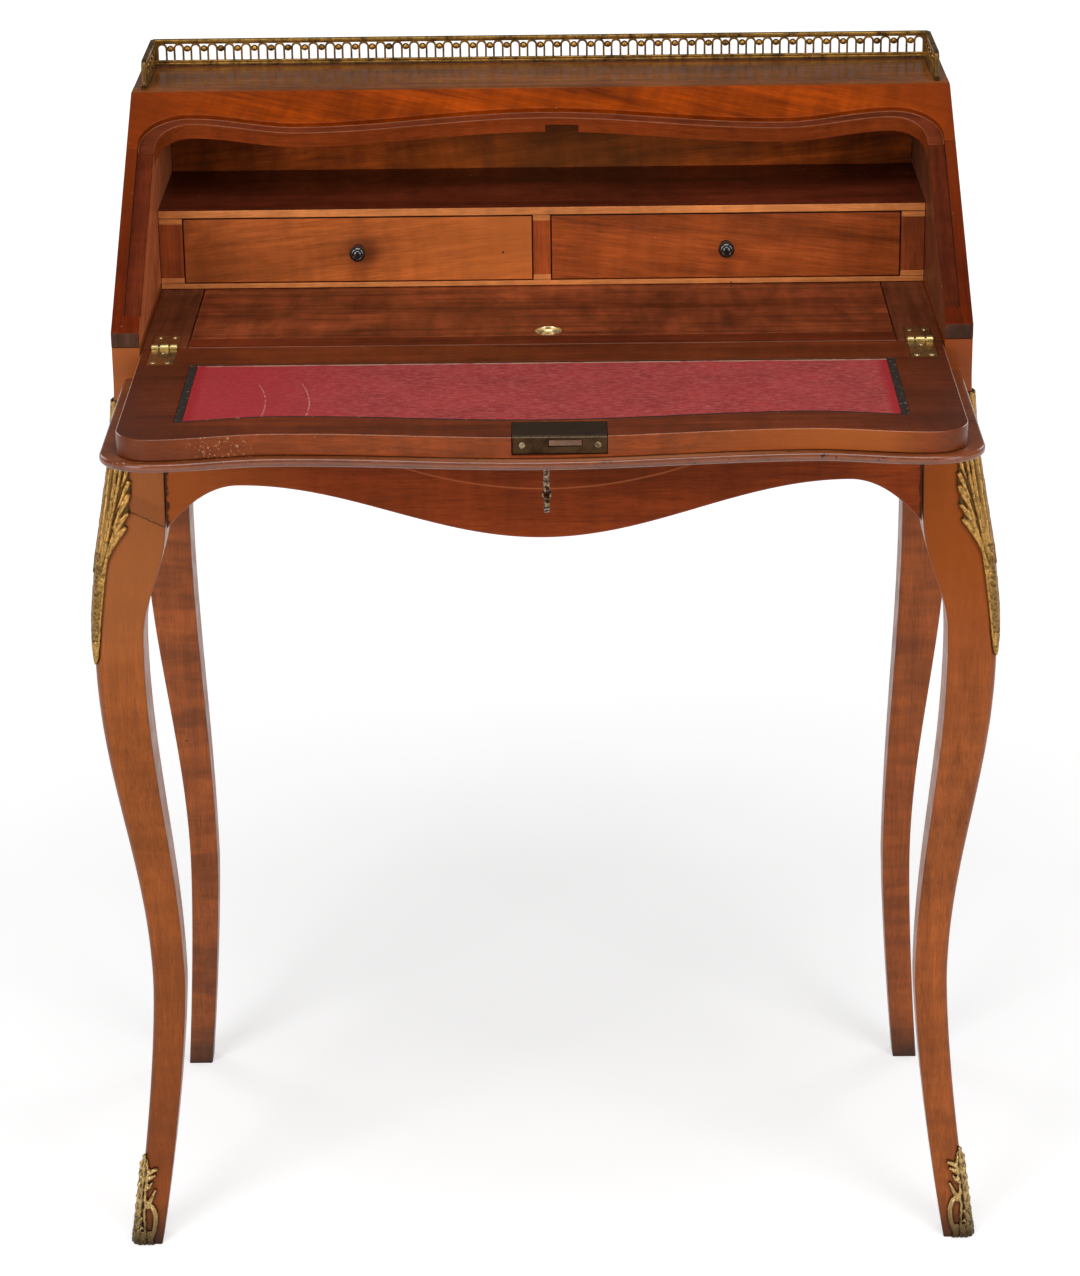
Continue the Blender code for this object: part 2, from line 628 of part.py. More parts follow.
top_board = box("top_board", (-HALF, HALF), (RAIL_BACK + GAP, CASE_BACK), (TOP_UNDER, TOP_RISE))
finish(soften(top_board, EDGE), DARK)
back_panel = box("back_panel", (-HALF_IN + GAP, HALF_IN - GAP), (BACK_IN, BACK_IN + BACK_T),
                 (GAP, TOP_UNDER - GAP))
finish(soften(back_panel, EDGE / 2), WOOD)

# Gallery: a thin pierced plate on the back and one on each side of the top
ARCH_LOW = GALLERY_FOOT
ARCH_HIGH = GALLERY_H - GALLERY_RAIL


def arches(start, end):
    """Round-headed openings spread evenly between two ends."""
    count = max(1, round((end - start) / GALLERY_PITCH))
    pitch = (end - start) / count
    r = GALLERY_ARCH_W / 2
    holes = []
    for i in range(count):
        c = start + pitch * (i + 0.5)
        hole = [(c - r, ARCH_LOW), (c + r, ARCH_LOW)]
        for k in range(7):
            a = math.pi * k / 6
            hole.append((c + r * math.cos(a), ARCH_HIGH - r + r * math.sin(a)))
        holes.append(hole)
    return holes


gallery_x = HALF - GALLERY_SIDE_INSET
gallery_y = CASE_BACK - GALLERY_BACK_INSET
seat_z = TOP_RISE + GAP
frame = [(-gallery_x, 0), (gallery_x, 0), (gallery_x, GALLERY_H), (-gallery_x, GALLERY_H)]
margin = GALLERY_T
back_holes = arches(-gallery_x + margin, gallery_x - margin)


def lift(points):
    return [(a, b + seat_z) for a, b in points]


outlines = [lift(frame)] + [lift(hole) for hole in back_holes]
finish(plate("gallery_back", outlines, -gallery_y, -gallery_y + GALLERY_T, XZ), BRASS_LOOK)
for side, hand in ((-1, "left"), (1, "right")):
    rear = gallery_y - GALLERY_T - GAP
    fore = gallery_y - GALLERY_SIDE_LEN
    ogee = []
    for k in range(9):
        t = k / 8
        ogee.append((fore + GALLERY_END * t, ease(GALLERY_FOOT * 0.8, GALLERY_H, t)))
    frame = [(fore, 0), (rear, 0), (rear, GALLERY_H)] + ogee[::-1]
    holes = arches(fore + GALLERY_END, rear - margin)
    xs = sorted((side * (gallery_x - GALLERY_T), side * gallery_x))
    finish(plate("gallery_" + hand, [lift(frame)] + [lift(h) for h in holes], xs[0], xs[1], YZ), BRASS_LOOK)

# Floor of the writing compartment: two fixed strips with grooves, a front rail and the sliding cover
fall_axis = empty("fall_axis", (0, 0, 0), datum)
cover_slide = empty("cover_slide", (0, WELL_FRONT_RAIL, 0), datum)
cover_top = -GAP
tongue_low = cover_top - COVER_T
for side, hand in ((-1, "left"), (1, "right")):
    xs = sorted((side * (WELL_HALF + GAP), side * (HALF_IN - GAP)))
    strip = box("floor_" + hand + "_strip", xs, (FALL_BUTT_CLEAR, BACK_RAIL_IN - GAP), (-FLOOR_T, 0.0))
    gx = sorted((side * (WELL_HALF - CASE_SIDE_T), side * (WELL_HALF + COVER_TONGUE + COVER_CLEAR)))
    groove = box(hand + "_groove", gx, (WELL_FRONT_RAIL - GAP, CASE_BACK),
                 (tongue_low - COVER_CLEAR, tongue_low + COVER_TONGUE_T + COVER_CLEAR))
    boolean(strip, groove)
    hx = (side * HINGE_X - HINGE_W / 2 - GAP, side * HINGE_X + HINGE_W / 2 + GAP)
    leaf_bed = box(hand + "_case_leaf_bed", hx, (-KNUCKLE_R, CASE_LEAF + GAP), (-LEAF_T - 2 * GAP, LEAF_T))
    boolean(strip, leaf_bed)
    boolean(strip, rod(hand + "_case_barrel_bed", KNUCKLE_R + KNUCKLE_CLEAR, "x", (side * HINGE_X, 0, 0),
                       HINGE_W + 2 * GAP, 20))
    finish(strip, WOOD)

front_rail = box("floor_front_rail", (-WELL_HALF, WELL_HALF), (FALL_BUTT_CLEAR, WELL_FRONT_RAIL),
                 (-FLOOR_T, 0.0))
finish(soften(front_rail, EDGE), WOOD)

cover_near = WELL_FRONT_RAIL + COVER_CLEAR
cover_far = DRAWER_FRONT + COVER_UNDER
body, tongue = WELL_HALF - COVER_CLEAR, WELL_HALF + COVER_TONGUE
outline = [(-tongue, tongue_low), (tongue, tongue_low), (tongue, tongue_low + COVER_TONGUE_T),
           (body, tongue_low + COVER_TONGUE_T), (body, cover_top), (-body, cover_top),
           (-body, tongue_low + COVER_TONGUE_T), (-tongue, tongue_low + COVER_TONGUE_T)]
cover = plate("well_cover", [outline], -cover_far, -cover_near, XZ)


def round_pull(r, steps=20):
    """Round outline about the middle of the finger cup in the cover."""
    middle = cover_near + PULL_EDGE + PULL_R
    turns = [2 * math.pi * k / steps for k in range(steps)]
    return [(PULL_X + r * math.cos(a), middle + r * math.sin(a)) for a in turns]


bed = round_pull(PULL_R + GAP)
boolean(cover, plate("pull_bed", [bed], cover_top - PULL_DEPTH - GAP, cover_top + PULL_DEPTH, XY))
finish(cover, WOOD, cover_slide)
pull = plate("well_cover_pull", [round_pull(PULL_R)], cover_top - PULL_DEPTH, cover_top, XY)
hollow = round_pull(PULL_R - PULL_WALL)
boolean(pull, plate("pull_hollow", [hollow], cover_top - PULL_DEPTH + PULL_WALL, cover_top + PULL_DEPTH, XY))
finish(pull, BRASS_LOOK, cover_slide)

# Drawer case
tray_z = (GAP, GAP + TRAY_T)
inside_z = (tray_z[1] + GAP, SHELF_RISE - SHELF_T - GAP)
case_y = (DRAWER_FRONT, BACK_IN - GAP)
case_x = HALF_IN - GAP
finish(soften(box("drawer_case_bottom", (-case_x, case_x), case_y, tray_z), EDGE), DRAWER)
shelf = box("drawer_case_top", (-case_x, case_x), (DRAWER_FRONT - SHELF_NOSE, BACK_IN - GAP),
            (SHELF_RISE - SHELF_T, SHELF_RISE))
finish(soften(shelf, EDGE), DARK)
finish(soften(box("left_divider", (-case_x, -case_x + END_DIVIDER), case_y, inside_z), EDGE), DRAWER)
post_x = MIDDLE_DIVIDER / 2
finish(soften(box("middle_divider", (-post_x, post_x), case_y, inside_z), EDGE), DRAWER)
finish(soften(box("right_divider", (case_x - END_DIVIDER, case_x), case_y, inside_z), EDGE), DRAWER)


def knob(name, place, carrier):
    """Turned knob; the profile runs down its outer side and the knob points to the front."""
    r, n, b, l = KNOB_R, KNOB_NECK_R, KNOB_BASE_R, KNOB_LEN
    profile = [(0.0, l), (r * 0.45, l * 0.99), (r * 0.82, l * 0.92), (r, l * 0.76), (r * 0.86, l * 0.58),
               (n, l * 0.46), (n, l * 0.26), (b, l * 0.16), (b, 0.0), (0.0, 0.0)]
    mesh = bpy.data.meshes.new(name)
    mesh.from_pydata([(x, 0, z) for x, z in profile], [(i, i + 1) for i in range(len(profile) - 1)], [])
    obj = bpy.data.objects.new(name, mesh)
    obj.location = place
    obj.rotation_euler = (math.pi / 2, 0, 0)
    parts.objects.link(obj)
    screw = obj.modifiers.new("turned", "SCREW")
    screw.axis = "Z"
    screw.steps = screw.render_steps = 16
    screw.use_merge_vertices = True
    screw.merge_threshold = 0.00001
    return finish(obj, BLACK_LOOK, carrier)


for side, hand in ((-1, "left"), (1, "right")):
    slide_x = side * (case_x - END_DIVIDER + post_x) / 2
    slide = empty(hand + "_drawer_slide", (slide_x, DRAWER_FRONT, GAP), datum)
    x0, x1 = sorted((side * (post_x + DRAWER_CLEAR), side * (case_x - END_DIVIDER - DRAWER_CLEAR)))
    z0, z1 = inside_z[0] - GAP + DRAWER_CLEAR, inside_z[1] - DRAWER_CLEAR
    y0, y1 = DRAWER_FRONT, DRAWER_FRONT + DRAWER_LEN
    name = hand + "_drawer_"
    y_in = y0 + DRAWER_FRONT_T + GAP
    y_back = y1 - DRAWER_BACK_T
    inner_x = (x0 + DRAWER_SIDE_T + GAP, x1 - DRAWER_SIDE_T - GAP)
    top = z1 - DRAWER_CLEAR * 4
    floor_z = (z0 + GAP, z0 + GAP + DRAWER_BOTTOM_T)
    drawer_front = box(name + "front", (x0, x1), (y0, y0 + DRAWER_FRONT_T), (z0, z1))
    finish(soften(drawer_front, EDGE), DRAWER, slide)
    finish(box(name + "left_side", (x0, x0 + DRAWER_SIDE_T), (y_in, y1), (z0, top)), PALE, slide)
    finish(box(name + "right_side", (x1 - DRAWER_SIDE_T, x1), (y_in, y1), (z0, top)), PALE, slide)
    finish(box(name + "back", inner_x, (y_back, y1), (floor_z[1] + GAP, top)), PALE, slide)
    finish(box(name + "bottom", inner_x, (y_in, y1), floor_z), PALE, slide)
    knob(name + "knob", ((x0 + x1) / 2, y0 - GAP, (z0 + z1) / 2), slide)

# Fall: the board, the wider lip on its outer face and what is let into it
lock_half = LOCK_W / 2
plate_front = serpentine(abs(LOCK_X) + lock_half + GAP) - GAP
key_y = -(plate_front - KEY_BACKSET)
lip_top = -FALL_T - GAP
fall_board = plate("fall_board", [opened(fall_outline(FALL_HALF, 0.0, FALL_BUTT_CLEAR))], -FALL_T, 0.0, XY)
lip_outline = opened(fall_outline(LIP_HALF, LIP_FRONT, LIP_REAR))
fall_lip = plate("fall_lip", [lip_outline], lip_top - LIP_T, lip_top, XY)
soften(fall_lip, LIP_ROUND, 2, 60)


def cloth_outline(side_grow, end_grow, steps=20):
    """Straight at the back and sides, with a front edge that follows the serpentine."""
    half = CLOTH_HALF + side_grow
    points = [(half, -CLOTH_REAR + end_grow)]
    for i in range(steps + 1):
        x = half - 2 * half * i / steps
        points.append((x, -(serpentine(x) - CLOTH_FRONT_MARGIN + end_grow)))
    points.append((-half, -CLOTH_REAR + end_grow))
    return points


cloth_bed = cloth_outline(BORDER_SIDE + GAP, BORDER_END + GAP)
boolean(fall_board, plate("cloth_bed", [cloth_bed], -CLOTH_T - GAP, CLOTH_T * 3, XY))
cloth = plate("writing_cloth", [cloth_outline(0.0, 0.0)], -CLOTH_T, 0.0, XY)
finish(cloth, CLOTH_LOOK, fall_axis)
band = [cloth_outline(BORDER_SIDE, BORDER_END), cloth_outline(GAP, GAP)]
border = plate("cloth_border", band, -CLOTH_T, 0.0, XY)
finish(border, TAPE_LOOK, fall_axis)

pocket = box("lock_pocket", (LOCK_X - lock_half - GAP, LOCK_X + lock_half + GAP),
             (-FALL_LEN_CENTRE - LOCK_D, -plate_front + LOCK_D + GAP), (-LOCK_H - GAP, FALL_T))
boolean(fall_board, pocket)
for obj in (fall_board, fall_lip):
    boolean(obj, rod(obj.name + "_keyhole", KEY_R + KEY_CLEAR, "z", (KEY_X, key_y, -FALL_T), FALL_T * 2, 20))

for side, hand in ((-1, "left"), (1, "right")):
    hx = (side * HINGE_X - HINGE_W / 2 - GAP, side * HINGE_X + HINGE_W / 2 + GAP)
    leaf_bed = box(hand + "_fall_leaf_bed", hx, (-FALL_LEAF - GAP, KNUCKLE_R), (-LEAF_T - 2 * GAP, LEAF_T))
    boolean(fall_board, leaf_bed)
    barrel_at = (side * HINGE_X, 0, 0)
    boolean(fall_board, rod(hand + "_fall_barrel_bed", KNUCKLE_R + KNUCKLE_CLEAR, "x", barrel_at,
                            HINGE_W + 2 * GAP, 20))
finish(fall_board, WOOD, fall_axis, smooth=30)
finish(fall_lip, WOOD, fall_axis, smooth=30)

# Hinges: each has two outer knuckles on the case leaf and one between them on the fall leaf
leaf_z = (-LEAF_T - GAP, -GAP)
outer_knuckle = (HINGE_W - MIDDLE_KNUCKLE) / 2 - KNUCKLE_CLEAR
for side, hand in ((-1, "left"), (1, "right")):
    c = side * HINGE_X
    ends = (c - HINGE_W / 2, c + HINGE_W / 2)
    mid = (c - MIDDLE_KNUCKLE / 2, c + MIDDLE_KNUCKLE / 2)
    reach = KNUCKLE_R + KNUCKLE_CLEAR
    leaf = box(hand + "_hinge_case_leaf", ends, (0.0, CASE_LEAF), leaf_z)
    for k, x in ((0, ends[0] + outer_knuckle / 2), (1, ends[1] - outer_knuckle / 2)):
        knuckle = rod(leaf.name + "_knuckle" + str(k), KNUCKLE_R, "x", (x, 0, 0), outer_knuckle, 16)
        boolean(leaf, knuckle, "UNION")
    notch = box(leaf.name + "_notch", (mid[0] - KNUCKLE_CLEAR, mid[1] + KNUCKLE_CLEAR), (-reach, reach),
                (-reach, reach))
    boolean(leaf, notch)
    boolean(leaf, rod(leaf.name + "_bore", PIN_R + PIN_CLEAR, "x", (c, 0, 0), HINGE_W * 2, 12))
    finish(leaf, BRASS_LOOK, smooth=30)
    leaf = box(hand + "_hinge_fall_leaf", ends, (-FALL_LEAF, 0.0), leaf_z)
    boolean(leaf, rod(leaf.name + "_knuckle", KNUCKLE_R, "x", (c, 0, 0), MIDDLE_KNUCKLE, 16), "UNION")
    for k, xs in ((0, (ends[0] - GAP, mid[0])), (1, (mid[1], ends[1] + GAP))):
        boolean(leaf, box(leaf.name + "_notch" + str(k), xs, (-reach, reach), (-reach, reach)))
    boolean(leaf, rod(leaf.name + "_bore", PIN_R + PIN_CLEAR, "x", (c, 0, 0), HINGE_W * 2, 12))
    finish(leaf, BRASS_LOOK, fall_axis, smooth=30)
    finish(rod(hand + "_hinge_pin", PIN_R, "x", (c, 0, 0), HINGE_W, 12), BRASS_LOOK, smooth=30)

# Lock: the case in its pocket, the plate on the front edge, the bolt and the key
lock_x = (LOCK_X - lock_half, LOCK_X + lock_half)
lock_y = (-plate_front + SELVEDGE_T + GAP, -plate_front + LOCK_D)
lock_case = box("lock_case", lock_x, lock_y, (-LOCK_H, -GAP))
bolt_x = (BOLT_X - BOLT_W / 2, BOLT_X + BOLT_W / 2)
bolt_z = (-BOLT_DROP - BOLT_H / 2, -BOLT_DROP + BOLT_H / 2)
slot_x = (bolt_x[0] - BOLT_CLEAR, bolt_x[1] + BOLT_CLEAR)
slot_z = (bolt_z[0] - BOLT_CLEAR, bolt_z[1] + BOLT_CLEAR)
slot_y = (-FALL_LEN_CENTRE - BOLT_THROW, -plate_front + GAP + BOLT_LEN + BOLT_CLEAR)
boolean(lock_case, box("bolt_tunnel", slot_x, slot_y, slot_z))
bit_reach = KEY_R + KEY_BIT + KEY_CLEAR
chamber_top = -KEY_TOP + KEY_CLEAR
chamber = LOCK_D + LOCK_H + chamber_top
chamber_at = (KEY_X, key_y, chamber_top - chamber / 2)
boolean(lock_case, rod("key_chamber", bit_reach, "z", chamber_at, chamber, 24))
finish(lock_case, STEEL_LOOK, fall_axis)
selvedge = box("lock_selvedge", lock_x, (-plate_front, -plate_front + SELVEDGE_T), (-LOCK_H, -GAP))
boolean(selvedge, box("selvedge_slot", slot_x, slot_y, slot_z))
finish(selvedge, BRASS_LOOK, fall_axis)

bolt_slide = empty("bolt_slide", (BOLT_X, -plate_front, -BOLT_DROP), fall_axis)
lock_bolt = box("lock_bolt", bolt_x, (-plate_front + GAP, -plate_front + GAP + BOLT_LEN), bolt_z)
finish(soften(lock_bolt, EDGE / 3), STEEL_LOOK, bolt_slide)

key_turn = empty("key_turn", (KEY_X, key_y, -KEY_TOP), fall_axis)
shank_low = -KEY_TOP - KEY_SHANK
key = rod("key", KEY_R, "z", (KEY_X, key_y, -KEY_TOP - KEY_SHANK / 2), KEY_SHANK, 12)
bit = box("key_bit", (KEY_X - KEY_BIT_T / 2, KEY_X + KEY_BIT_T / 2), (key_y, key_y + KEY_R + KEY_BIT),
          (-KEY_TOP - KEY_BIT_H - KEY_CLEAR, -KEY_TOP - KEY_CLEAR))
boolean(key, bit, "UNION")
collar = rod("key_collar", KEY_R * 1.55, "z", (KEY_X, key_y, shank_low + KEY_R * 1.4), KEY_R * 1.3, 12)
boolean(key, collar, "UNION")
bow_z = shank_low - KEY_BOW_R * 0.1
for k, (dy, dz, r) in enumerate(((-0.62, 0.0, 0.62), (0.62, 0.0, 0.62), (0.0, -0.42, 0.66))):
    lobe = [(key_y + KEY_BOW_R * dy + KEY_BOW_R * r * math.cos(math.pi * i / 10),
             bow_z + KEY_BOW_R * (dz + 0.1) + KEY_BOW_R * r * math.sin(math.pi * i / 10)) for i in range(20)]
    half_t = KEY_BOW_T / 2 - k * 0.00012
    boolean(key, plate("key_bow" + str(k), [lobe], KEY_X - half_t, KEY_X + half_t, YZ), "UNION")
for k, (dy, dz, r) in enumerate(((-0.62, 0.0, 0.28), (0.62, 0.0, 0.28), (0.0, -0.42, 0.30))):
    eye = [(key_y + KEY_BOW_R * dy + KEY_BOW_R * r * math.cos(math.pi * i / 6),
            bow_z + KEY_BOW_R * (dz + 0.1) + KEY_BOW_R * r * math.sin(math.pi * i / 6)) for i in range(12)]
    boolean(key, plate("key_eye" + str(k), [eye], KEY_X - KEY_BOW_T, KEY_X + KEY_BOW_T, YZ))
finish(key, BRASS_LOOK, key_turn, smooth=40)


# Gilt mounts, wrapped round the outer corner of each front leg
def corner_point(side, drop, s, off):
    """A point s round the corner from its middle and off out from the leg's surface."""
    out, ins = front_leg_faces(drop)
    r = corner_round(drop, out - ins)
    turn = r * math.pi / 4
    if abs(s) <= turn:
        a = math.pi / 4 + s / r
        across, along = out - r + (r + off) * math.cos(a), out - r + (r + off) * math.sin(a)
    else:
        rest = abs(s) - turn
        across, along = out + off, out - r - rest
        if s > 0:
            across, along = along, across
    return (side * (HALF + across), -CASE_FRONT - along, -drop)


def share_at(shape, t):
    """Width share of a mount's outline at t down its length."""
    for (t0, w0), (t1, w1) in zip(shape, shape[1:]):
        if t <= t1:
            return ease(w0, w1, (t - t0) / (t1 - t0))
    return shape[-1][1]


def mount(name, side, shape, span, wide, thick, rows, cells=8):
    """A thin crowned plate round the corner, from one drop to another."""
    rings = []
    for row in range(rows + 1):
        t = row / rows
        drop = span[0] + (span[1] - span[0]) * t
        w = wide * share_at(shape, t)
        under, over = [], []
        for i in range(cells + 1):
            s = 2 * i / cells - 1
            rise = MOUNT_EDGE_T + (thick - MOUNT_EDGE_T) * (1 - s * s) * min(1.0, w / (4 * thick))
            under.append(corner_point(side, drop, s * w / 2, MOUNT_SEAT))
            over.append(corner_point(side, drop, s * w / 2, MOUNT_SEAT + rise))
        rings.append(under + over[::-1])
    return finish(loft(name, rings), GILT_LOOK, smooth=50)


for side, hand in ((-1, "left"), (1, "right")):
    mount(hand + "_knee_mount", side, KNEE_MOUNT_SHAPE, (KNEE_MOUNT_TOP_DROP, KNEE_MOUNT_LOW_DROP),
          KNEE_MOUNT_W, KNEE_MOUNT_T, 24)
    mount(hand + "_foot_mount", side, FOOT_MOUNT_SHAPE, (FOOT_MOUNT_LOW - FOOT_MOUNT_H, FOOT_MOUNT_LOW),
          FOOT_MOUNT_W, FOOT_MOUNT_T, 12)
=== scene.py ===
"""Looks of a small fall-front writing desk in walnut, with gilt mounts and a pierced brass gallery.

Pieces are made from the hinge line and the writing surface (Y to the back, Z up), as the solids are, and are
moved to the frame's place when they are dressed. A plank's material follows its place at rest, so the grain
stays on the plank when it moves.
"""
import json
import math
import random

import bmesh
import bpy
import numpy as np
from mathutils import Matrix, Vector, noise


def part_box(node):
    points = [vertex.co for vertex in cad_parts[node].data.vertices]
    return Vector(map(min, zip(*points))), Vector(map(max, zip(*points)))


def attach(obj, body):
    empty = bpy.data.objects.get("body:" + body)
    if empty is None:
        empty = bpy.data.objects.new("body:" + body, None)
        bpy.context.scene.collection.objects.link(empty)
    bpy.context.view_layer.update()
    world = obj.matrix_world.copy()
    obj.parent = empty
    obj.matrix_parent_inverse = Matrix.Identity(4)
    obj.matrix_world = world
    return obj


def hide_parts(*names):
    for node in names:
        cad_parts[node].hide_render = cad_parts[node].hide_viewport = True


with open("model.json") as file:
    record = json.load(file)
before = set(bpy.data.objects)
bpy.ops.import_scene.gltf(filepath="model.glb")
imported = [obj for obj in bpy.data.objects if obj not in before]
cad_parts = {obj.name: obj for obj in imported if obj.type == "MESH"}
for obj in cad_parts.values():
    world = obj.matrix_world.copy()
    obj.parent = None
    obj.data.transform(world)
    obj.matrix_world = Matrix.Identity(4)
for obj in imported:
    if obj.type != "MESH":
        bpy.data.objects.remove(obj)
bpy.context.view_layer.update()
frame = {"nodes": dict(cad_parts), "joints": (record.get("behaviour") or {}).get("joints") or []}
JOINTS = {joint["name"]: joint for joint in frame["joints"]}
DATUM = Vector(JOINTS["fall_hinge"]["pos_m"])
HANDS = ((-1, "left"), (1, "right"))


def span(node):
    """Lowest and highest corner of a solid, from the hinge line and the writing surface."""
    low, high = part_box(node)
    return low - DATUM, high - DATUM


# Sizes taken from the frame
side_low, side_high = span("right_case_side")
HALF, HALF_IN = side_high.x, side_low.x
CASE_FRONT, CASE_BACK, CASE_FOOT = -side_low.y, side_high.y, side_low.z
board_low, board_high = span("fall_board")
FALL_T, FALL_HALF, FALL_LONG, FALL_REAR = -board_low.z, board_high.x, -board_low.y, -board_high.y
lip_low, lip_high = span("fall_lip")
LIP_HALF, LIP_FRONT, LIP_REAR = lip_high.x, -lip_low.y - FALL_LONG, -lip_high.y
TOP_UNDER, TOP_RISE = span("top_board")[0].z, span("top_board")[1].z
RAIL_BACK = span("slant_top_rail")[1].y
WRITING_HEIGHT = DATUM.z

# Case and fall, as the solids have them
GAP = 0.0003
SLOPE = math.radians(31.45)
REBATE_DEPTH = 0.005
REBATE_CLEAR = 0.0005
SWING_CLEAR = 0.0008
OPENING_CLEAR = 0.0007
RAIL_LOW = 0.186             # lower end of the sloping rail, up the slope from the hinge line
FALL_LEN_QUARTER = 0.2055    # hinge line to the hollow of the serpentine edge
FALL_LEN_CORNER = 0.216      # hinge line to the crest beside the corner
FALL_QUARTER_IN = 0.1103     # side edge of the fall to that hollow
FALL_CORNER_R = 0.025
FALL_ROUND = 0.0011
LIP_ROUND = 0.0026
BOLT_X, STRIKE_W, STRIKE_H, STRIKE_DEPTH = 0.0165, 0.026, 0.0085, 0.010
KEY_X, KEY_R, KEY_BACKSET, KEY_CLEAR = 0.003, 0.0022, 0.022, 0.0005
ARRIS = 0.0007               # worn edge of a plank
EDGE = {"top_board": 0.0010, "nosing": 0.0005, "floor_rail": 0.0009, "drawer_front": 0.0010,
        "lining": 0.0004, "divider": 0.0004, "strip": 0.0005, "cover": 0.0006, "leaf": 0.00025,
        "knuckle": 0.0007, "lock": 0.0004, "plate": 0.0009, "bit": 0.0002, "lobe": 0.0006, "gallery": 0.00022}
PAST, OVER, BED_OVER = 0.02, 0.01, 0.002    # how far cutting blocks reach past what they cut
OPENING_START = -0.06        # where the tool that cuts the opening starts, up the slope

# Limits between the looks of neighbouring faces
FACING, FLAT, SLANTED, SIDEWAYS = 0.9, 0.95, 0.3, 0.5    # share of a face's normal along one axis
NEAR, EDGE_ZONE = 0.001, 0.004    # how near a face lies to a plane or to the edge of a board
LEDGE_BELOW, LEDGE_SHORT, ARRIS_BAND, ARRIS_START = 0.0008, 0.0004, 0.0009, 0.0015

# Writing cloth
CLOTH_T = 0.0007
CLOTH_HALF = FALL_HALF - 0.0453
CLOTH_REAR = 0.046
CLOTH_FRONT_MARGIN = 0.040   # front edge of the cloth to the fall's front edge
BORDER_SIDE, BORDER_END = 0.006, 0.0025
SCRATCHES = (((-0.3770, -0.182), 0.180), ((-0.3515, -0.184), 0.186))   # middle and radius of two pale arcs
CLOTH_FRAY, CLOTH_PUCKER, TAPE_FRAY, TAPE_TOP = 0.00022, 0.00012, 0.0003, -0.0001
FRAY_SCALE, PUCKER_SCALE, TAPE_SCALE = 400, 45, 300    # lumps to the metre

# Hinges and lock
LEAF_T, KNUCKLE_R, MIDDLE_KNUCKLE, KNUCKLE_CLEAR = 0.0014, 0.0034, 0.0074, 0.0004
PIN_BORE, PIN_LONG = 0.0017, 0.05
BOLT_W, BOLT_H, BOLT_DROP, BOLT_CLEAR = 0.023, 0.0043, 0.0052, 0.0004
LOCK_H = 0.0132
HINGE_SCREW_R, HINGE_SCREW_X, HINGE_SCREW_END, HINGE_SCREW_NEAR = 0.0021, 0.0054, 0.006, 0.0105
LOCK_SCREW_R, LOCK_SCREW_LEFT, LOCK_SCREW_RIGHT, LOCK_SCREW_TURNS = 0.0024, 0.0072, 0.0066, (0.5, 1.9)
CHAMBER_R, CHAMBER_Z, CHAMBER_LONG = 0.0075, -0.029, 0.040

# Key; a lobe of its bow is a place across and up, a radius and an eye, in shares of the bow's radius
BOW_R, SHANK, BIT_T, BIT_H, BIT_LONG = 0.0095, 0.044, 0.0018, 0.003, 0.0048
LOBE_HALF_T, LOBE_STEP = 0.0021, 0.00012
LOBES = ((-0.62, 0.0, 0.62, 0.30), (0.62, 0.0, 0.62, 0.30), (0.0, -0.42, 0.66, 0.31))

# Floor of the compartment and drawer case
TONGUE_T, TONGUE_CLEAR, GROOVE_DEEP = 0.0036, 0.0005, 0.02
CUP_WALL, CUP_EDGE, CUP_RIM, CUP_ROUND = 0.0016, 0.0004, 0.0003, 0.0012
DIVIDER_RAIL = 0.0046        # height of the pale rails that cross the front of an upright

# Legs and aprons
LEG_BLOCK, BLOCK_ROUND = 0.035, 0.002
LEG_BLOCK_DROP, LEG_BRACKET_DROP, KNEE_DROP = 0.125, 0.215, 0.238
FRONT_LEG = {"ankle_drop": 0.525, "out": (0.0235, -0.004, 0.019), "size": (0.038, 0.026, 0.0225)}
REAR_LEG = {"ankle_drop": 0.545, "out": (0.015, -0.0095, 0.002), "size": (0.038, 0.0235, 0.0205),
            "back": (0.008, -0.006, 0.006)}
POST_INSET = 0.0002
LEG_ARRIS, CORNER_SHARE, FOOT_FLARE = 0.0018, 0.24, 1.5
APRON_T, APRON_ROUND = 0.022, 0.0022
APRON_SHRINK = 0.9988        # the joints with the legs have opened a little
APRON_TOP = -FALL_T - GAP
FRONT_APRON = {"centre": 0.144, "arch": 0.1025, "end": 0.135, "crest": 0.0547}
SIDE_APRON = {"centre": 0.126, "arch": 0.106, "end": 0.122, "crest": 0.030}
APRON_RAGGED = 0.0004
FOOT_SOOT = 0.042            # height of the dark foot of a leg
BLOCK_RISE = (0.690, 0.725)  # heights between which a leg takes the colour of its block

# Gilt mounts on the front legs
MOUNT_SEAT = 0.0006
KNEE_MOUNT_TOP, KNEE_MOUNT_LONG, KNEE_MOUNT_HALF = 0.036, 0.204, 0.0205
FOOT_MOUNT_LONG, FOOT_MOUNT_HALF = 0.077, 0.0165
CREST_MM, KEEP_MM = 3.6, 0.25    # height of a clean crest, and the lowest relief that is cast

# Gallery
GALLERY_PITCH, ARCH_W, ARCH_RIM, ARCH_CROWN = 0.0135, 0.0055, 0.0016, 0.0018
GALLERY_FOOT, GALLERY_RAIL, GALLERY_END = 0.0044, 0.0033, 0.010
BEAD_R, BEAD_LAP, BEAD_TIP, BEAD_STEPS = 0.0026, 0.0004, 0.00005, 12
BAND_FOOT, BAND_TOP = 0.0008, 0.0006    # how far the pierced band runs into its rails
BAND_SHARE, BAND_START = 0.8, 0.003     # thickness by that of the gallery; start behind the dropped end
RAIL_HALF, OGEE_FOOT, OGEE_STEPS, BAY_DROP, SPANDREL_RISE = 0.0021, 0.0016, 12, 0.0012, 0.88
# Mouldings of the foot: middle, half width and half height; both heights are shares of the foot's height
FOOT_RAILS = ((0.30, 0.0022, 0.30), (0.72, 0.0015, 0.28))

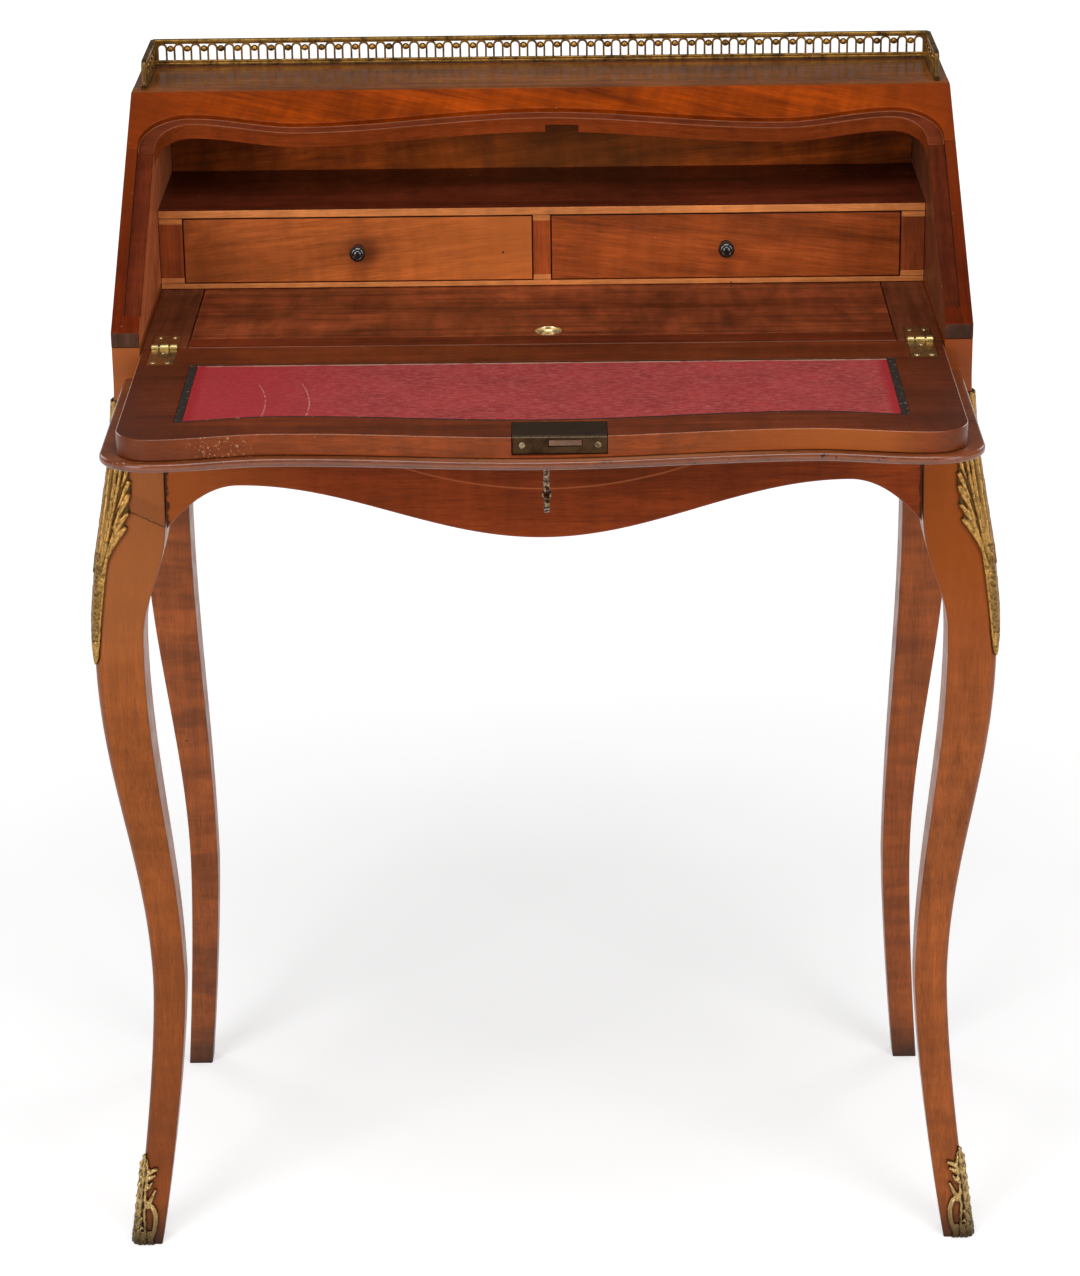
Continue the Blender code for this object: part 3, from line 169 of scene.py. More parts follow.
# Derived places
FACE_H = FALL_T + REBATE_DEPTH
CREST_X = FALL_HALF - FALL_CORNER_R
FALL_QUARTER_X = FALL_HALF - FALL_QUARTER_IN
FRONT_SPAN = HALF - LEG_BLOCK - GAP
KEY_Y = span("lock_selvedge")[0].y + KEY_BACKSET
SIDE_NEAR, SIDE_FAR = -CASE_FRONT + LEG_BLOCK + GAP, CASE_BACK - LEG_BLOCK - GAP

XY = ((1, 0, 0), (0, 1, 0), (0, 0, 1))
XZ = ((1, 0, 0), (0, 0, 1), (0, -1, 0))
YZ = ((0, 1, 0), (0, 0, 1), (1, 0, 0))
SLANT = ((1, 0, 0), (0, math.cos(SLOPE), math.sin(SLOPE)), (0, -math.sin(SLOPE), math.cos(SLOPE)))


# Mesh tools
def reshape(obj, edit):
    """Change a piece's mesh with a bmesh edit."""
    bm = bmesh.new()
    bm.from_mesh(obj.data)
    edit(bm)
    bm.to_mesh(obj.data)
    bm.free()
    return obj


def placed(name, data):
    obj = bpy.data.objects.new(name, data)
    bpy.context.scene.collection.objects.link(obj)
    return obj


def piece(name, points, faces):
    """A new mesh piece with its faces turned out."""
    mesh = bpy.data.meshes.new(name)
    mesh.from_pydata(points, [], faces)
    return reshape(placed(name, mesh), lambda bm: bmesh.ops.recalc_face_normals(bm, faces=bm.faces))


def skin(name, rings):
    """Skin a row of closed sections that have the same number of points, and fill both ends."""
    count = len(rings[0])
    faces = [tuple(range(count)), tuple(range(len(rings) * count - count, len(rings) * count))]
    for row in range(len(rings) - 1):
        for i in range(count):
            a, b = row * count + i, row * count + (i + 1) % count
            faces.append((a, b, b + count, a + count))
    return piece(name, [point for ring in rings for point in ring], faces)


def block(name, x, y, z):
    points = [(a, b, c) for c in z for b in y for a in x]
    faces = [(0, 2, 3, 1), (4, 5, 7, 6), (0, 1, 5, 4), (2, 6, 7, 3), (0, 4, 6, 2), (1, 3, 7, 5)]
    return piece(name, points, faces)


def plain(node, stuff):
    """A block over a plain solid of the frame."""
    low, high = span(node)
    return block(f"{node}_{stuff}", *zip(low, high))


def circle(middle, radius, steps=40):
    return [(middle[0] + radius * math.cos(2 * math.pi * k / steps),
             middle[1] + radius * math.sin(2 * math.pi * k / steps)) for k in range(steps)]


def turned(name, profile, place, axis, sides=40):
    """A turned piece: radius and height pairs along an axis from a place."""
    along = Vector(axis)
    across = along.orthogonal().normalized()
    other = along.cross(across)
    rings = []
    for radius, height in profile:
        middle = Vector(place) + along * height
        rings.append([middle + (across * math.cos(2 * math.pi * k / sides)
                                + other * math.sin(2 * math.pi * k / sides)) * radius for k in range(sides)])
    return skin(name, rings)


def rod(name, radius, axis, middle, length, sides=40):
    start = Vector(middle) - Vector(axis) * (length / 2)
    return turned(name, [(radius, 0.0), (radius, length)], start, axis, sides)


def flat(name, outlines, low, high, axes=XY):
    """A flat outline, with any holes, given thickness from low to high along the third of its axes."""
    curve = bpy.data.curves.new(name, "CURVE")
    curve.dimensions, curve.fill_mode = "2D", "BOTH"
    curve.extrude = (high - low) / 2
    for points in outlines:
        spline = curve.splines.new("POLY")
        spline.points.add(len(points) - 1)
        for point, (a, b) in zip(spline.points, points):
            point.co = (a, b, 0.0, 1.0)
        spline.use_cyclic_u = True
    obj = placed(name + "_outline", curve)
    mesh = evaluated(obj)
    bpy.data.objects.remove(obj, do_unlink=True)
    shape = placed(name, mesh)
    whole = len(outlines) == 1

    def tidy(bm):
        bmesh.ops.remove_doubles(bm, verts=bm.verts, dist=0.000002)
        caps = [e for e in bm.edges if all(abs(f.normal.z) > 0.999 for f in e.link_faces)]
        if whole:
            bmesh.ops.dissolve_edges(bm, edges=caps)
        turn = Matrix(axes).transposed().to_4x4()
        turn.translation = Vector(axes[2]) * ((low + high) / 2)
        bmesh.ops.transform(bm, matrix=turn, verts=bm.verts)
        bmesh.ops.recalc_face_normals(bm, faces=bm.faces)

    return reshape(shape, tidy)


def evaluated(obj):
    bpy.context.view_layer.update()
    graph = bpy.context.evaluated_depsgraph_get()
    return bpy.data.meshes.new_from_object(obj.evaluated_get(graph))


def settle(obj):
    """Make the modifiers' result the mesh itself."""
    mesh, old = evaluated(obj), obj.data
    obj.modifiers.clear()
    obj.data = mesh
    bpy.data.meshes.remove(old)
    return obj


def round_off(obj, width, segments=3, angle=40):
    mod = obj.modifiers.new("edge", "BEVEL")
    mod.width, mod.segments = width, segments
    mod.limit_method, mod.angle_limit = "ANGLE", math.radians(angle)
    mod.loop_slide = False
    return settle(obj)


def cut(obj, tool, kind="DIFFERENCE"):
    mod = obj.modifiers.new("cut", "BOOLEAN")
    mod.object, mod.operation, mod.solver = tool, kind, "EXACT"
    settle(obj)
    bpy.data.objects.remove(tool, do_unlink=True)
    return obj


def join(name, objs):
    """One piece of several bodies."""
    bm = bmesh.new()
    for obj in objs:
        bm.from_mesh(obj.data)
        bpy.data.objects.remove(obj, do_unlink=True)
    mesh = bpy.data.meshes.new(name)
    bm.to_mesh(mesh)
    bm.free()
    return placed(name, mesh)


def paint(obj, *tests):
    """Give the piece's further materials, in turn, to the faces whose middle and normal pass a test."""
    for index, test in enumerate(tests, 1):
        for face in obj.data.polygons:
            if test(face.center, face.normal):
                face.material_index = index
    return obj


def dress(obj, body, looks, nodes=(), smooth=40):
    """Move a piece to the frame's place, finish it and let it ride on its body."""
    obj.data.transform(Matrix.Translation(DATUM))
    for look in looks:
        obj.data.materials.append(look)
    obj.data.shade_smooth()
    obj.data.set_sharp_from_angle(angle=math.radians(smooth))
    obj.modifiers.new("flat_faces", "WEIGHTED_NORMAL").keep_sharp = True
    settle(obj)
    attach(obj, body)
    if nodes:
        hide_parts(*nodes)
    return obj


def recolour(node, look):
    """Give a look to a solid of the frame that is shown as it is."""
    materials = frame["nodes"][node].data.materials
    materials.clear()
    materials.append(look)


# Node materials
class Tree:
    """A material's nodes. An input is a number, a colour or another node's output."""

    def __init__(self, name, sockets):
        self.material = bpy.data.materials.new(name)
        self.material.use_nodes = True
        self.nodes = self.material.node_tree.nodes
        self.shader = self.nodes["Principled BSDF"]
        self.feed(self.shader, sockets)
        self.where = self.add("TexCoord", {}).outputs["Object"]

    def feed(self, node, sockets):
        for name, value in sockets.items():
            socket = node.inputs[name]
            if isinstance(value, bpy.types.NodeSocket):
                self.material.node_tree.links.new(value, socket)
            elif socket.type == "RGBA":
                socket.default_value = (*value, 1.0)
            else:
                socket.default_value = value

    def add(self, kind, sockets, **settings):
        node = self.nodes.new("ShaderNode" + kind)
        for name, value in settings.items():
            setattr(node, name, value)
        self.feed(node, sockets)
        return node

    def mapped(self, scale, seed=0, turn=None):
        """The rest place, turned, scaled on each axis and shifted by a seed."""
        turned_place = self.where
        if turn:
            turned_place = self.add("Mapping", {"Vector": self.where, "Rotation": turn}).outputs[0]
        shift = (seed * 1.37, seed * 2.11, seed * 0.73)
        return self.add("Mapping", {"Vector": turned_place, "Scale": scale, "Location": shift}).outputs[0]

    def noise(self, vector, scale, detail=2.0, rough=0.5, distort=0.0):
        return self.add("TexNoise", {"Vector": vector, "Scale": scale, "Detail": detail, "Roughness": rough,
                                     "Distortion": distort}).outputs[0]

    def level(self, value, low, high, to_low=0.0, to_high=1.0):
        """Stretch a range of a value to another range, and hold it at both ends."""
        return self.add("MapRange", {"Value": value, "From Min": low, "From Max": high, "To Min": to_low,
                                     "To Max": to_high}).outputs[0]

    def sum(self, a, b, how="ADD"):
        return self.add("Math", {0: a, 1: b}, operation=how).outputs[0]

    def mix(self, share, a, b, blend="MIX"):
        return self.add("Mix", {0: share, 6: a, 7: b}, data_type="RGBA", blend_type=blend).outputs[2]

    def both(self, a, b):
        return self.sum(a, b, "MULTIPLY")

    def shaded(self, tone, grey):
        return self.mix(1.0, tone, grey, "MULTIPLY")

    def toward(self, tone, colour, share, value, start, end):
        """Take a tone towards a colour, up to a share of it, while a value goes from start to end."""
        return self.mix(self.level(value, start, end, 0.0, share), tone, colour)

    def ramp(self, value, stops):
        node = self.add("ValToRGB", {0: value})
        elements = node.color_ramp.elements
        elements.remove(elements[1])
        elements[0].position, elements[0].color = stops[0][0], (*stops[0][1], 1.0)
        for place, colour in stops[1:]:
            elements.new(place).color = (*colour, 1.0)
        return node.outputs[0]

    def place(self):
        """X, Y and Z of the rest place."""
        return self.add("SeparateXYZ", {0: self.where}).outputs

    def size(self, value):
        return self.add("Math", {0: value}, operation="ABSOLUTE").outputs[0]

    def apart(self, a, b):
        return self.size(self.sum(a, b, "SUBTRACT"))

    def gap(self, a, b, point):
        """How far two coordinates are from a point in their plane."""
        plane = self.add("CombineXYZ", {0: a, 1: b}).outputs[0]
        return self.add("VectorMath", {0: plane, 1: (*point, 0.0)}, operation="DISTANCE").outputs[1]

    def shades(self, value, low, high, dark, light):
        """A grey that runs from dark to light while a value goes from low to high."""
        return self.ramp(value, [(low, (dark,) * 3), (high, (light,) * 3)])

    def bump(self, height, strength, distance):
        return self.add("Bump", {"Height": height, "Strength": strength, "Distance": distance}).outputs[0]

    def done(self, **sockets):
        self.feed(self.shader, {name.replace("_", " "): value for name, value in sockets.items()})
        return self.material


def times(colour, factor):
    return tuple(min(1.0, c * factor) for c in colour)


SOOT, DUST, DEEP_RED = (0.016, 0.007, 0.004), (0.42, 0.22, 0.13), (0.175, 0.027, 0.003)
SPECK = 0.030
SPECKS = ((38.0, 0.80, SOOT, 0.0), (70.0, 0.55, DUST, 9.0))    # cells to the metre, share, colour, seed


def stretched(grain, along, across=1.0):
    """Scale of a texture along the grain and across it."""
    return tuple(along if axis == grain else across for axis in "xyz")


def wood(name, colour, grain="x", seed=0, rough=0.33, contrast=1.0, gloss=0.30, turn=None, curl=0.5,
         cloud=1.0, mark=None, foot=False):
    """Waxed walnut: soft bands along the grain, ripples across it, fibres, open pores, patina and specks."""
    tree = Tree(name, {"Specular IOR Level": gloss})
    plank = tree.mapped(stretched(grain, 0.06), seed, turn)
    band = tree.noise(plank, 34.0, 5.0, 0.62, 0.7)
    lines = tree.noise(plank, 190.0, 3.0, 0.55, 0.4)
    figure = tree.sum(tree.both(band, 0.62), tree.both(lines, 0.38))
    dark, light = times(colour, 1 - 0.44 * contrast), times(colour, 1 + 0.42 * contrast)
    tone = tree.ramp(figure, [(0.30, dark), (0.5, colour), (0.70, light)])
    ripple = tree.noise(tree.mapped(stretched(grain, 1.0, 0.22), seed + 5, turn), 78.0, 3.0, 0.55, 0.3)
    tone = tree.shaded(tone, tree.shades(ripple, 0.34, 0.66, 1 - 0.22 * curl, 1 + 0.20 * curl))
    fibre = tree.noise(plank, 800.0, 3.0, 0.6)
    tone = tree.shaded(tone, tree.ramp(fibre, [(0.3, (0.80, 0.76, 0.72)), (0.7, (1.15, 1.13, 1.10))]))
    pores = tree.noise(tree.mapped(stretched(grain, 0.09), seed + 3, turn), 1000.0, 2.0)
    pores = tree.level(pores, 0.58, 0.70)
    tone = tree.mix(tree.both(pores, 0.34), tone, times(colour, 0.30))
    patina = tree.noise(tree.where, 13.0, 5.0, 0.65)
    tone = tree.shaded(tone, tree.shades(patina, 0.3, 0.7, 1 - 0.15 * cloud, 1 + 0.12 * cloud))
    if mark:
        tone = mark(tree, tone)
    tone = specks(tree, tone, seed)
    if foot:
        ragged = tree.sum(tree.place()[2], tree.level(patina, 0.3, 0.7, -0.008, 0.008))
        tone = tree.toward(tone, SOOT, 0.9, ragged, FOOT_SOOT, 0.0)
    rub = tree.level(tree.noise(tree.where, 60.0, 3.0), 0.3, 0.7, rough - 0.05, rough + 0.09)
    relief = tree.sum(tree.both(fibre, 0.5), pores, "SUBTRACT")
    return tree.done(Base_Color=tone, Roughness=rub, Normal=tree.bump(relief, 0.16, 0.0003))


def specks(tree, tone, seed):
    """Scattered dark dents and a few pale flecks of dust."""
    for scale, share, colour, shift in SPECKS:
        place = tree.mapped((1, 1, 1), seed + shift)
        cells = tree.add("TexVoronoi", {"Vector": place, "Scale": scale}).outputs[0]
        rare = tree.level(tree.noise(tree.mapped((1, 1, 1), seed + shift + 2), 19.0), 0.53, 0.57)
        spot = tree.both(tree.level(cells, SPECK * 1.4, SPECK), rare)
        tone = tree.mix(tree.both(spot, share), tone, colour)
    return tone


# Marks that single planks have, by their place at rest
def veneer_line(tree, tone):
    """The front apron: orange to the left, dark open joints at both ends, a pale bow in its veneer."""
    middle, bend, low = 0.0025, 1.45, 0.6414
    x, _, z = tree.place()
    tone = tree.toward(tone, (0.370, 0.092, 0.016), 0.75, x, -0.170, -0.262)
    ragged = tree.level(tree.noise(tree.where, 240.0, 3.0, 0.6), 0.35, 0.65, -0.0012, 0.0012)
    end = tree.sum(tree.size(x), ragged)
    tone = tree.toward(tone, SOOT, 0.85, end, FRONT_SPAN - 0.0028, FRONT_SPAN - 0.0016)
    off = tree.sum(x, middle, "SUBTRACT")
    bow = tree.sum(tree.both(tree.both(off, off), bend), low)
    near = tree.level(tree.apart(z, bow), 0.0008, 0.0003)
    seen = tree.level(tree.size(off), 0.130, 0.100, 0.0, 0.65)
    return tree.mix(tree.both(near, seen), tone, (0.52, 0.15, 0.05))


def slope_ends(tree, tone):
    """The sloping rail darkens and reddens towards both ends."""
    return tree.toward(tone, DEEP_RED, 0.75, tree.size(tree.place()[0]), 0.235, 0.320)


def stile_top(tree, tone):
    """The stile grows brighter up to its joint with the rail."""
    return tree.toward(tone, DEEP_RED, 0.85, tree.place()[2], 0.790, 0.872)


def painted_shade_middle(tree, tone):
    """The back panel is duller and darker behind the strike mortise: painted shade under the rail."""
    away = tree.size(tree.sum(tree.place()[0], -0.030))
    return tree.toward(tone, (0.110, 0.042, 0.009), 0.65, away, 0.170, 0.030)


def dark_ends(tree, tone):
    """The open fall is browner and darker near its two ends."""
    return tree.toward(tone, (0.062, 0.014, 0.005), 0.55, tree.size(tree.place()[0]), 0.225, 0.290)


def glued_joint_and_knee_sheen(tree, tone):
    """The left leg: darker at the foot, a painted sheen on the knee, a dark slanting joint below the block.
    """
    joint_x, joint_z, slant = 0.3146, 0.6283, 0.445
    x, y, z = tree.place()
    tone = tree.toward(tone, (0.135, 0.026, 0.004), 0.55, z, 0.34, 0.06)
    # painted sheen: the knee turns paler
    tone = tree.toward(tone, (0.362, 0.112, 0.028), 0.75, z, 0.460, 0.580)
    tone = tree.toward(tone, (0.290, 0.066, 0.010), 0.7, z, *BLOCK_RISE)
    line = tree.sum(joint_z, tree.both(tree.sum(x, joint_x), slant), "SUBTRACT")
    ragged = tree.level(tree.noise(tree.where, 160.0), 0.3, 0.7, -0.0006, 0.0006)
    over = tree.sum(tree.sum(z, line, "SUBTRACT"), ragged)
    front = tree.level(y, -0.052, -0.058)
    strip = tree.both(tree.level(over, 0.016, 0.013), tree.level(over, 0.0, 0.0006))
    tone = tree.mix(tree.both(tree.both(strip, front), 0.22), tone, (0.10, 0.03, 0.012))
    crack = tree.both(tree.level(tree.size(over), 0.0008, 0.0003), front)
    return tree.mix(tree.both(crack, 0.75), tone, SOOT)


def red_top(tree, tone):
    """The right leg is more red about the knee, and darker in the block above it."""
    z = tree.place()[2]
    tone = tree.toward(tone, (0.312, 0.064, 0.003), 0.8, z, 0.440, 0.580)
    return tree.toward(tone, (0.225, 0.046, 0.008), 0.85, z, *BLOCK_RISE)


def drawer_tones_and_knob_shadow(tree, tone):
    """Left drawer front: darker at its left end, paler at the right, with a painted shadow of its knob."""
    low, high = span("left_drawer_front")
    x, _, z = tree.place()
    cloudy = tree.noise(tree.where, 45.0, 4.0, 0.6)
    left = tree.level(x, low.x + 0.100, low.x, 0.0, 0.75)
    left = tree.both(left, tree.level(cloudy, 0.35, 0.60, 0.25, 1.0))
    tone = tree.mix(left, tone, (0.180, 0.042, 0.010))
    tone = tree.toward(tone, (0.560, 0.150, 0.030), 0.5, x, low.x + 0.150, high.x)
    beside_knob = ((low.x + high.x) / 2 + 0.006, (low.z + high.z) / 2 + DATUM.z)
    # painted shadow of the knob, a little to its right
    return tree.toward(tone, (0.115, 0.028, 0.008), 0.6, tree.gap(x, z, beside_knob), 0.017, 0.006)


def chips(tree, tone, middle, reach, colour, scale, share):
    """Knocked spots along the fall's front edge, thickest about a place across the desk."""
    x, y, _ = tree.place()
    near = tree.level(tree.apart(x, middle), reach, reach * 0.35)
    near = tree.both(near, tree.level(y, -0.228, -0.238))
    spots = tree.level(tree.noise(tree.where, scale, 3.0, 0.6), share, share + 0.03)
    return tree.mix(tree.both(near, spots), tone, colour)


def edge_chips(tree, tone):
    """The fall's front edge, darker to the left end and paler to the right, with one cluster of chips."""
    x = tree.place()[0]
    tone = tree.toward(tone, (0.085, 0.019, 0.004), 0.6, x, -0.170, -0.265)
    pale = tree.both(tree.level(x, 0.080, 0.200, 0.0, 0.7), tree.level(x, 0.272, 0.240))
    tone = tree.mix(pale, tone, (0.350, 0.086, 0.011))
    tone = tree.toward(tone, (0.120, 0.026, 0.005), 0.6, x, 0.245, 0.280)
    return chips(tree, tone, -0.224, 0.025, (0.46, 0.27, 0.16), 520.0, 0.605)


def lip_nicks(tree, tone):
    """Dark nicks along the right half of the lip and pale ones along the left."""
    tone = chips(tree, tone, 0.155, 0.16, SOOT, 190.0, 0.635)
    return chips(tree, tone, -0.240, 0.11, (0.45, 0.27, 0.18), 300.0, 0.66)


def lip_worn(tree, tone):
    """The lip's upper face is worn pale about the lock."""
    x = tree.place()[0]
    worn = tree.both(tree.level(x, -0.140, -0.020, 0.0, 0.75), tree.level(x, 0.210, 0.090))
    return lip_nicks(tree, tree.mix(worn, tone, (0.420, 0.165, 0.075)))


# Metals, ebony and cloth
def metal(name, bright, dull, rough, patches=26.0, share=(0.45, 0.70), crest=False, bump=0.12, tip=None):
    """Brass, gilt or steel, dull in patches, in the hollows of a relief or towards a tip at the front."""
    tree = Tree(name, {"Metallic": 1.0})
    grime = tree.noise(tree.where, patches, 5.0, 0.65)
    fine = tree.noise(tree.where, 900.0, 2.0)
    dulled = tree.level(grime, *share)
    if crest:
        height = tree.add("Attribute", {}, attribute_name="crest").outputs["Fac"]
        hollow = tree.level(height, 0.66, 0.24)
        dirt = tree.level(tree.place()[2], 0.040, 0.004, 0.0, 0.93)
        dulled = tree.sum(tree.sum(hollow, dirt, "MAXIMUM"), tree.both(dulled, 0.75), "MAXIMUM")
    if tip is not None:
        at_tip = tree.level(tree.place()[1], tip + 0.018, tip + 0.007, 0.0, 0.9)
        dulled = tree.sum(dulled, at_tip, "MAXIMUM")
    tone = tree.mix(dulled, bright, dull)
    tone = tree.shaded(tone, tree.ramp(fine, [(0.3, (0.85, 0.84, 0.82)), (0.7, (1.1, 1.1, 1.08))]))
    gloss = tree.level(grime, 0.3, 0.75, rough - 0.06, rough + 0.16)
    return tree.done(Base_Color=tone, Roughness=gloss, Normal=tree.bump(fine, bump, 0.0002))


def ebony(name):
    tree = Tree(name, {"Coat Weight": 1.0, "Coat Roughness": 0.04})
    rub = tree.noise(tree.where, 220.0, 4.0, 0.6)
    tone = tree.ramp(rub, [(0.35, (0.003, 0.003, 0.003)), (0.75, (0.014, 0.012, 0.011))])
    return tree.done(Base_Color=tone, Roughness=tree.level(rub, 0.3, 0.7, 0.12, 0.26),
                     Normal=tree.bump(rub, 0.06, 0.0002))


def weave(tree, period):
    """Height of a plain weave of threads along X and Y."""
    scale = 2 * math.pi / (20 * period)
    threads = [tree.add("TexWave", {"Vector": tree.where, "Scale": scale, "Distortion": 1.4, "Detail": 1.0},
                        bands_direction=way).outputs[1] for way in ("X", "Y")]
    return tree.both(*threads)


def cloth_look(name):
    """Faded crimson cloth, still deep red along its two ends, streaked, dusty and scratched."""
    fresh, faded, dusty = (0.36, 0.004, 0.008), (0.390, 0.030, 0.028), (0.56, 0.130, 0.115)
    rear = DATUM.y - CLOTH_REAR
    tree = Tree(name, {"Specular IOR Level": 0.12, "Sheen Weight": 0.04})
    threads = weave(tree, 0.0009)
    x, y, _ = tree.place()
    near_end = tree.level(tree.size(x), CLOTH_HALF - 0.009, CLOTH_HALF - 0.003)
    cloudy = tree.noise(tree.where, 30.0, 5.0, 0.65)
    streaks = tree.noise(tree.mapped((0.34, 1, 1), 2), 480.0, 4.0, 0.7)
    fluff = tree.noise(tree.where, 700.0, 3.0, 0.6)
    tone = tree.mix(tree.level(cloudy, 0.35, 0.68), faded, times(faded, 0.70))
    tone = tree.toward(tone, dusty, 0.85, streaks, 0.45, 0.76)
    tone = tree.toward(tone, (0.400, 0.014, 0.022), 0.78, x, -0.120, -0.205)
    tone = tree.mix(tree.both(near_end, 0.92), tone, fresh)
    tone = tree.shaded(tone, tree.shades(fluff, 0.3, 0.7, 0.80, 1.18))
    torn = tree.both(tree.level(y, rear - 0.0030, rear - 0.0012), tree.level(cloudy, 0.38, 0.50))
    tone = tree.mix(tree.both(torn, 0.85), tone, (0.58, 0.33, 0.22))
    tone = tree.shaded(tone, tree.shades(threads, 0.0, 0.8, 0.82, 1.08))
    for middle, radius in SCRATCHES:
        line = tree.level(tree.apart(tree.gap(x, y, middle), radius), 0.0006, 0.0002, 0.0, 0.75)
        part = tree.both(tree.level(y, -0.126, -0.136), tree.level(fluff, 0.42, 0.56))
        tone = tree.mix(tree.both(line, part), tone, (0.66, 0.34, 0.26))
    return tree.done(Base_Color=tone, Roughness=tree.level(cloudy, 0.3, 0.7, 0.82, 0.95),
                     Normal=tree.bump(threads, 0.35, 0.0003))


def tape_look(name):
    """Black tape, rubbed pale and frayed in places."""
    tree = Tree(name, {"Specular IOR Level": 0.2})
    threads = weave(tree, 0.0007)
    frayed = tree.level(tree.noise(tree.where, 230.0, 4.0, 0.7), 0.60, 0.68)
    tone = tree.mix(tree.both(threads, 0.5), (0.020, 0.012, 0.009), (0.046, 0.030, 0.022))
    tone = tree.mix(frayed, tone, (0.30, 0.20, 0.13))
    return tree.done(Base_Color=tone, Roughness=tree.level(threads, 0.0, 1.0, 0.75, 0.95),
                     Normal=tree.bump(threads, 0.4, 0.0003))


# Shapes that several pieces share
def on_slope(u, h):
    """Y and Z of a point u up the slope from the hinge line and h out from the closed fall's inner face."""
    return (u * math.cos(SLOPE) - h * math.sin(SLOPE), u * math.sin(SLOPE) + h * math.cos(SLOPE))


def ease(a, b, t):
    """A smooth change from a to b while t goes from 0 to 1."""
    t = min(max(t, 0.0), 1.0)
    return a + (b - a) * (1 - math.cos(math.pi * t)) / 2


def serpentine(x):
    """Length of the fall from the hinge line to its front edge."""
    x = abs(x)
    if x < FALL_QUARTER_X:
        return ease(FALL_LONG, FALL_LEN_QUARTER, x / FALL_QUARTER_X)
    return ease(FALL_LEN_QUARTER, FALL_LEN_CORNER, (x - FALL_QUARTER_X) / (CREST_X - FALL_QUARTER_X))


def fall_outline(half, grow, start, steps=150, turns=16):
    """Outline from the straight back edge at start to the serpentine front edge, grown outwards."""
    corner = FALL_CORNER_R + grow
    front = FALL_LEN_CORNER + grow
    arc = []
    for i in range(turns):
        a = math.pi / 2 * i / turns
        arc.append((CREST_X + (half - CREST_X) * math.cos(a), front - corner + corner * math.sin(a)))
    edge = [CREST_X - 2 * CREST_X * i / steps for i in range(steps + 1)]
    points = [(half, start)] + arc + [(x, serpentine(x) + grow) for x in edge]
    return points + [(-x, u) for x, u in arc[::-1]] + [(-half, start)]


def opened(points):
    """The same outline lying open, forward of the hinge line."""
    return [(x, -u) for x, u in points]


def sway(drop, knee, ankle, foot, ankle_drop):
    """How far a leg's face stands out from the case at a drop below the writing surface."""
    if drop < KNEE_DROP:
        return ease(0.0, knee, (drop + APRON_TOP) / (KNEE_DROP + APRON_TOP))
    if drop < ankle_drop:
        return ease(knee, ankle, (drop - KNEE_DROP) / (ankle_drop - KNEE_DROP))
    return ankle + (foot - ankle) * ((drop - ankle_drop) / (WRITING_HEIGHT - ankle_drop)) ** FOOT_FLARE


def thickness(drop, knee, ankle, foot, ankle_drop):
    if drop < ankle_drop:
        return ease(knee, ankle, (drop - KNEE_DROP) / (ankle_drop - KNEE_DROP))
    return ankle + (foot - ankle) * (drop - ankle_drop) / (WRITING_HEIGHT - ankle_drop)


def inner(drop, outer, size):
    """Inner face of a leg: square in the block, then the bracket curve, then the tapering leg."""
    return ease(-LEG_BLOCK, outer - size, (drop - LEG_BLOCK_DROP) / (LEG_BRACKET_DROP - LEG_BLOCK_DROP))


def leg_faces(leg, drop):
    """Outer and inner faces across the desk, then along it, from the case's own faces."""
    size = thickness(drop, *leg["size"], leg["ankle_drop"])
    across = sway(drop, *leg["out"], leg["ankle_drop"])
    along = sway(drop, *leg.get("back", leg["out"]), leg["ankle_drop"])
    return across, inner(drop, across, size), along, inner(drop, along, size)


def corner_round(drop, size):
    return ease(BLOCK_ROUND, size * CORNER_SHARE, (drop - LEG_BLOCK_DROP) / (KNEE_DROP - LEG_BLOCK_DROP))


# Legs and aprons
def leg_ring(leg, side, drop, steps=7):
    """Rounded square section of a leg."""
    ox, ix, oy, iy = leg_faces(leg, drop)
    y_face, y_out = (CASE_BACK, 1) if leg is REAR_LEG else (-CASE_FRONT, -1)
    round_r = corner_round(drop, min(ox - ix, oy - iy))
    ring = []
    for sx, sy, turn in ((1, 1, 0), (0, 1, 1), (0, 0, 2), (1, 0, 3)):
        r = round_r if turn == 0 and leg is FRONT_LEG else LEG_ARRIS
        cx = ox - r if sx else ix + r
        cy = oy - r if sy else iy + r
        for k in range(steps + 1):
            a = math.pi / 2 * (turn + k / steps)
            x = side * (HALF + cx + r * math.cos(a))
            ring.append((x, y_face + y_out * (cy + r * math.sin(a)), -drop))
    return ring


def legs(looks):
    rows, crowding = 110, 1.12
    top = -APRON_TOP
    drops = [top + (WRITING_HEIGHT - top) * (i / rows) ** crowding for i in range(rows + 1)]
    for side, hand in HANDS:
        xs = sorted((side * (HALF_IN + POST_INSET), side * (HALF - POST_INSET)))
        for leg, end in ((FRONT_LEG, "front"), (REAR_LEG, "rear")):
            name = f"{end}_{hand}_leg"
            shaft = skin(name + "_wood", [leg_ring(leg, side, drop) for drop in drops])
            near = -CASE_FRONT + POST_INSET if leg is FRONT_LEG else CASE_BACK - LEG_BLOCK + POST_INSET
            post = block("post", xs, (near, near + LEG_BLOCK - 2 * POST_INSET),
                         (APRON_TOP - LEG_BLOCK / 3, CASE_FOOT - GAP))
            cut(shaft, post, "UNION")
            dress(shaft, "desk", [looks[name]], [name])


def apron_edge(t, shape, half):
    """Drop of an apron's lower edge; t is 0 at the middle of the apron and 1 at the leg."""
    arch_t = 1 - shape["crest"] / half
    if t < arch_t:
        return ease(shape["centre"], shape["arch"], t / arch_t)
    return shape["arch"] + (shape["end"] - shape["arch"]) * ((t - arch_t) / (1 - arch_t)) ** 2


